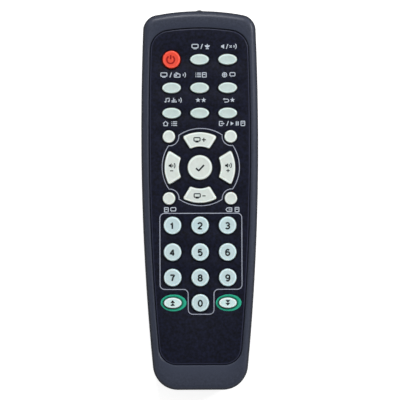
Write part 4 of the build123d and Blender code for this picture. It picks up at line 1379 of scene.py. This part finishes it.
class REMOTE_OT_lamp(bpy.types.Operator):
    """Infrared lamp: a domed body with a collar"""

    bl_idname = "remote.lamp"
    bl_label = "Lamp"

    def execute(self, context):
        high = part_box("ir_led")[1]
        back, dome = high.y - LAMP_LENGTH, high.y - LAMP_RADIUS
        profile = [(back + along, radius) for along, radius in LAMP_COLLAR]
        profile += [(dome + LAMP_RADIUS * sin(turn), LAMP_RADIUS * cos(turn)) for turn in quarter(10)]
        pieces = [lathe("lamp", profile, (0, 0, PARTING), (0, 1, 0), 48)]
        half, leg_y = LEG_HALF, back - LEG_RUN
        for x in (-LEG_X, LEG_X):
            low = (x - half, leg_y - half, PARTING - half)
            pieces.append(block("leg", low, (x + half, back, PARTING + half)))
            pieces.append(block("leg", (*low[:2], PARTING + half), (x + half, leg_y + half, high.z)))
        settle(join("infrared_lamp", pieces), "case", tinted_epoxy(srgb("17161c")), ["ir_led"])
        return {"FINISHED"}


class REMOTE_OT_cells(bpy.types.Operator):
    """The two cells in the bay, with a crimped sleeve, a nub and a recessed flat end"""

    bl_idname = "remote.cells"
    bl_label = "Cells"

    def execute(self, context):
        can = metal("nickel_plated_can", srgb(NICKEL), 0.3)
        for name, way in (("battery_left", 1), ("battery_right", -1)):
            (low, high), middle = part_box(name), part_middle(name)
            base = low.y if way > 0 else high.y
            length, radius = high.y - low.y, (high.x - low.x) / 2
            roll, drop = CAN_ROLL
            shoulder = [(CAN_STOP, radius), (roll, radius - drop), *CELL_NUB]
            profile = [*CELL_FLAT, (CAN_START, radius)]
            profile += [(length - back, reach) for back, reach in shoulder]
            cell = lathe(name + "_cell", profile, (middle.x, base, middle.z), (0, way, 0))
            sleeve = cell_sleeve(srgb("3f4347"), srgb("9298a0"), base + way * (length - CELL_BAND), way)
            settle(cell, "case", sleeve, [name])

            def bare(face):
                """Whether a face lies on the can where the sleeve doesn't reach."""
                along = abs(face.center.y / MM - base)
                off = hypot(face.center.x / MM - middle.x, face.center.z / MM - middle.z)
                return along > length - CRIMP or off < CRIMP_RADIUS or along < CRIMP_FLAT

            dress(cell, can, bare)
        return {"FINISHED"}


class REMOTE_OT_springs(bpy.types.Operator):
    """The conical coil springs behind the cells' flat ends"""

    bl_idname = "remote.springs"
    bl_label = "Springs"

    def execute(self, context):
        tree = coil_tree()
        wire = metal("nickel_plated_wire", srgb(NICKEL), 0.28, 0.3)
        for name, way in (("tail_spring", 1), ("head_spring", -1)):
            (low, high), middle = part_box(name), part_middle(name)
            height = high.y - low.y - 2 * WIRE
            coil = from_bmesh(name + "_coil", bmesh.new())
            sizes = {"Base radius": COIL_BASE, "Tip radius": COIL_TIP, "Height": height, "Wire radius": WIRE}
            values = {label: size * MM for label, size in sizes.items()}
            run_tree(coil, tree, {**values, "Turns": COIL_TURNS, "Material": wire})
            place = Vector((middle.x, middle.y - way * height / 2, middle.z)) * MM
            turn = Vector((0, 0, 1)).rotation_difference(Vector((0, way, 0))).to_matrix().to_4x4()
            coil.data.transform(Matrix.Translation(place) @ turn)
            settle(coil, "case", wire, [name])
        return {"FINISHED"}


class REMOTE_OT_screw(bpy.types.Operator):
    """Case screw: a pan head with a cross recess"""

    bl_idname = "remote.screw"
    bl_label = "Screw"

    def execute(self, context):
        (low, high), (x, y, _) = part_box("case_screw"), part_middle("case_screw")
        profile = [*SCREW_HEAD]
        for thread in range(THREADS):
            start = THREAD_START + thread * THREAD_PITCH
            profile += [(start + along, radius) for along, radius in THREAD]
        profile.append((high.z - low.z, SCREW_TIP))
        screw = lathe("screw", profile, (x, y, low.z), (0, 0, 1), 40)
        for half_x, half_y in (CROSS, CROSS[::-1]):
            corner = (x + half_x, y + half_y, low.z + CROSS_DEPTH)
            carve(screw, block("cross", (x - half_x, y - half_y, low.z - PAST), corner))
        settle(screw, "case", metal("zinc_plated_steel", srgb("9a9ca0"), 0.35, 0.3), ["case_screw"])
        return {"FINISHED"}


class REMOTE_OT_inner_finishes(bpy.types.Operator):
    """Finishes of the pieces inside the case, which keep their own shape"""

    bl_idname = "remote.inner_finishes"
    bl_label = "Inner finishes"

    def execute(self, context):
        nickel = metal("nickel_plated_strip", srgb(NICKEL), 0.32, 0.15, (1, 1, 8))
        black = moulded("epoxy_moulding_compound", srgb("1c1c1e"), 0.5)
        finishes = {
            "keypad_mat": moulded("silicone_mat", srgb("55585f"), 0.55, specular=0.3),
            "circuit_board": moulded("solder_mask", srgb("1f6b3a"), 0.35),
            "controller_chip": black,
            "transistor": black,
            "resonator": moulded("dipped_ceramic", srgb("d7812c"), 0.3),
            "capacitor": metal("bare_aluminium_can", srgb("a8abb0"), 0.4),
            "resistors": moulded("fired_ceramic_chip", srgb("2a2a2c"), 0.45),
            "bridge_contact": nickel,
            "positive_contact": nickel,
            "negative_contact": nickel,
        }
        for name, material in finishes.items():
            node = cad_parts[name]
            node.data.materials.clear()
            node.data.materials.append(material)
        return {"FINISHED"}


def clear_rays(tree):
    """1 for what the camera, glossy and transmitted rays see, and 0 for the light that falls on things."""
    path = add(tree, "ShaderNodeLightPath").outputs
    seen = path["Is Camera Ray"]
    for kind in ("Is Glossy Ray", "Is Transmission Ray"):
        seen = add(tree, "ShaderNodeMath", {0: seen, 1: path[kind]}, operation="MAXIMUM").outputs[0]
    return seen


def white_for_camera(shader, strength):
    """Adds light that only the camera and clear reflections see, so that a pale surface shows white."""
    tree = shader.id_data
    glow = add(tree, "ShaderNodeMath", {0: clear_rays(tree), 1: strength}, operation="MULTIPLY").outputs[0]
    fill(shader, {"Emission Strength": glow, "Emission Color": (1, 1, 1, 1)})


def placed(context, name, data, place):
    """A lamp or a camera in the scene."""
    made = bpy.data.objects.new(name, data)
    made.location = place
    context.scene.collection.objects.link(made)
    return made


# The photo is 400 px across 192.3 mm at the parting line, 1.18 m from the lens, and turned a little
LENS, SENSOR = 221.4, 36.0
CAMERA_X, CAMERA_Y, CAMERA_TURN = 0.03, -0.13, -0.19
PAPER_GLOW = 0.76
# Between which heights, as the sine of the angle over the horizon, the surroundings darken to the ceiling
WHITE_TO, DARK_FROM = 0.2, 0.7
FLOOR_THICK = 20.0


class REMOTE_OT_stage(bpy.types.Operator):
    """White floor, soft lamps, pale surroundings and the camera straight over the keys"""

    bl_idname = "remote.stage"
    bl_label = "Stage"

    def execute(self, context):
        stage = context.scene.remote_stage
        half = stage.floor_size / 2 / MM
        floor = slab("floor", half, (-half, half), (-FLOOR_THICK, 0))
        colour = srgb("d0d0d0")
        paper, shader = new_material("white_paper_floor", colour, 0.9, specular=0.0)
        speckle(shader, colour, 8.0, 0.01)
        white_for_camera(shader, PAPER_GLOW)
        floor.data.materials.append(paper)
        world = bpy.data.worlds.new("pale_room")
        world.use_nodes = True
        context.scene.world = world
        tree = world.node_tree
        # The camera and clear reflections see white low down and a darker ceiling, all else an even glow
        way = add(tree, "ShaderNodeTexCoord").outputs["Generated"]
        rise = add(tree, "ShaderNodeSeparateXYZ", {0: way}).outputs["Z"]
        values = {"Value": rise, "From Min": WHITE_TO, "From Max": DARK_FROM, "To Min": 1.0}
        seen = add(tree, "ShaderNodeMapRange", {**values, "To Max": stage.ceiling}).outputs[0]
        strength = add(tree, "ShaderNodeMix", {"Factor": clear_rays(tree), 2: stage.glow, 3: seen}).outputs[0]
        fill(tree.nodes["Background"], {"Color": (1, 1, 1, 1), "Strength": strength})
        # Each lamp's power in watts, width and place in metres
        lamps = (
            ("head_lamp", stage.head_light, 0.3, (-0.05, 0.75, 0.82)),
            ("side_lamp", stage.side_light, 0.25, (0.76, 0.36, 0.75)),
            ("fill_lamp", stage.fill_light, 0.8, (-0.7, -0.5, 0.8)),
        )
        for name, power, width, place in lamps:
            data = bpy.data.lights.new(name, "AREA")
            data.energy, data.size = power, width
            lamp = placed(context, name, data, place)
            lamp.rotation_euler = (-Vector(place)).to_track_quat("-Z", "Y").to_euler()
        data = bpy.data.cameras.new("camera")
        data.lens, data.sensor_width = LENS, SENSOR
        data.clip_start, data.clip_end = 0.01, 100.0
        camera = placed(context, "camera", data, (CAMERA_X * MM, CAMERA_Y * MM, stage.camera_height))
        camera.rotation_euler = (0, 0, radians(CAMERA_TURN))
        context.scene.camera = camera
        context.scene.view_settings.view_transform = "Standard"
        return {"FINISHED"}


class REMOTE_PT_panel(bpy.types.Panel):
    """The remote control's pieces and their settings"""

    bl_idname = "REMOTE_PT_panel"
    bl_label = "Remote control"
    bl_space_type = "VIEW_3D"
    bl_region_type = "UI"
    bl_category = "Remote"

    def draw(self, context):
        for settings in (getattr(context.scene, name) for name in SETTINGS):
            box = self.layout.box()
            for key in settings.__annotations__:
                box.prop(settings, key)
        for operator in OPERATORS:
            self.layout.operator(operator.bl_idname)


SETTINGS = {
    "remote_case": CaseSettings,
    "remote_keys": KeySettings,
    "remote_print": PrintSettings,
    "remote_stage": StageSettings,
}
OPERATORS = (
    REMOTE_OT_stage,
    REMOTE_OT_front_shell,
    REMOTE_OT_rear_shell,
    REMOTE_OT_battery_door,
    REMOTE_OT_face_plate,
    REMOTE_OT_keys,
    REMOTE_OT_key_signs,
    REMOTE_OT_panel_print,
    REMOTE_OT_lamp,
    REMOTE_OT_cells,
    REMOTE_OT_springs,
    REMOTE_OT_screw,
    REMOTE_OT_inner_finishes,
)


def register():
    """Makes every class and the scene's settings known to Blender."""
    for kind in (*SETTINGS.values(), *OPERATORS, REMOTE_PT_panel):
        bpy.utils.register_class(kind)
    for name, kind in SETTINGS.items():
        setattr(bpy.types.Scene, name, PointerProperty(type=kind))


def unregister():
    """Takes the settings and the classes out again."""
    for name in SETTINGS:
        delattr(bpy.types.Scene, name)
    for kind in reversed((*SETTINGS.values(), *OPERATORS, REMOTE_PT_panel)):
        bpy.utils.unregister_class(kind)


def main():
    """Makes every piece in order."""
    register()
    for operator in OPERATORS:
        group, name = operator.bl_idname.split(".")
        getattr(getattr(bpy.ops, group), name)()


if __name__ == "__main__":
    main()
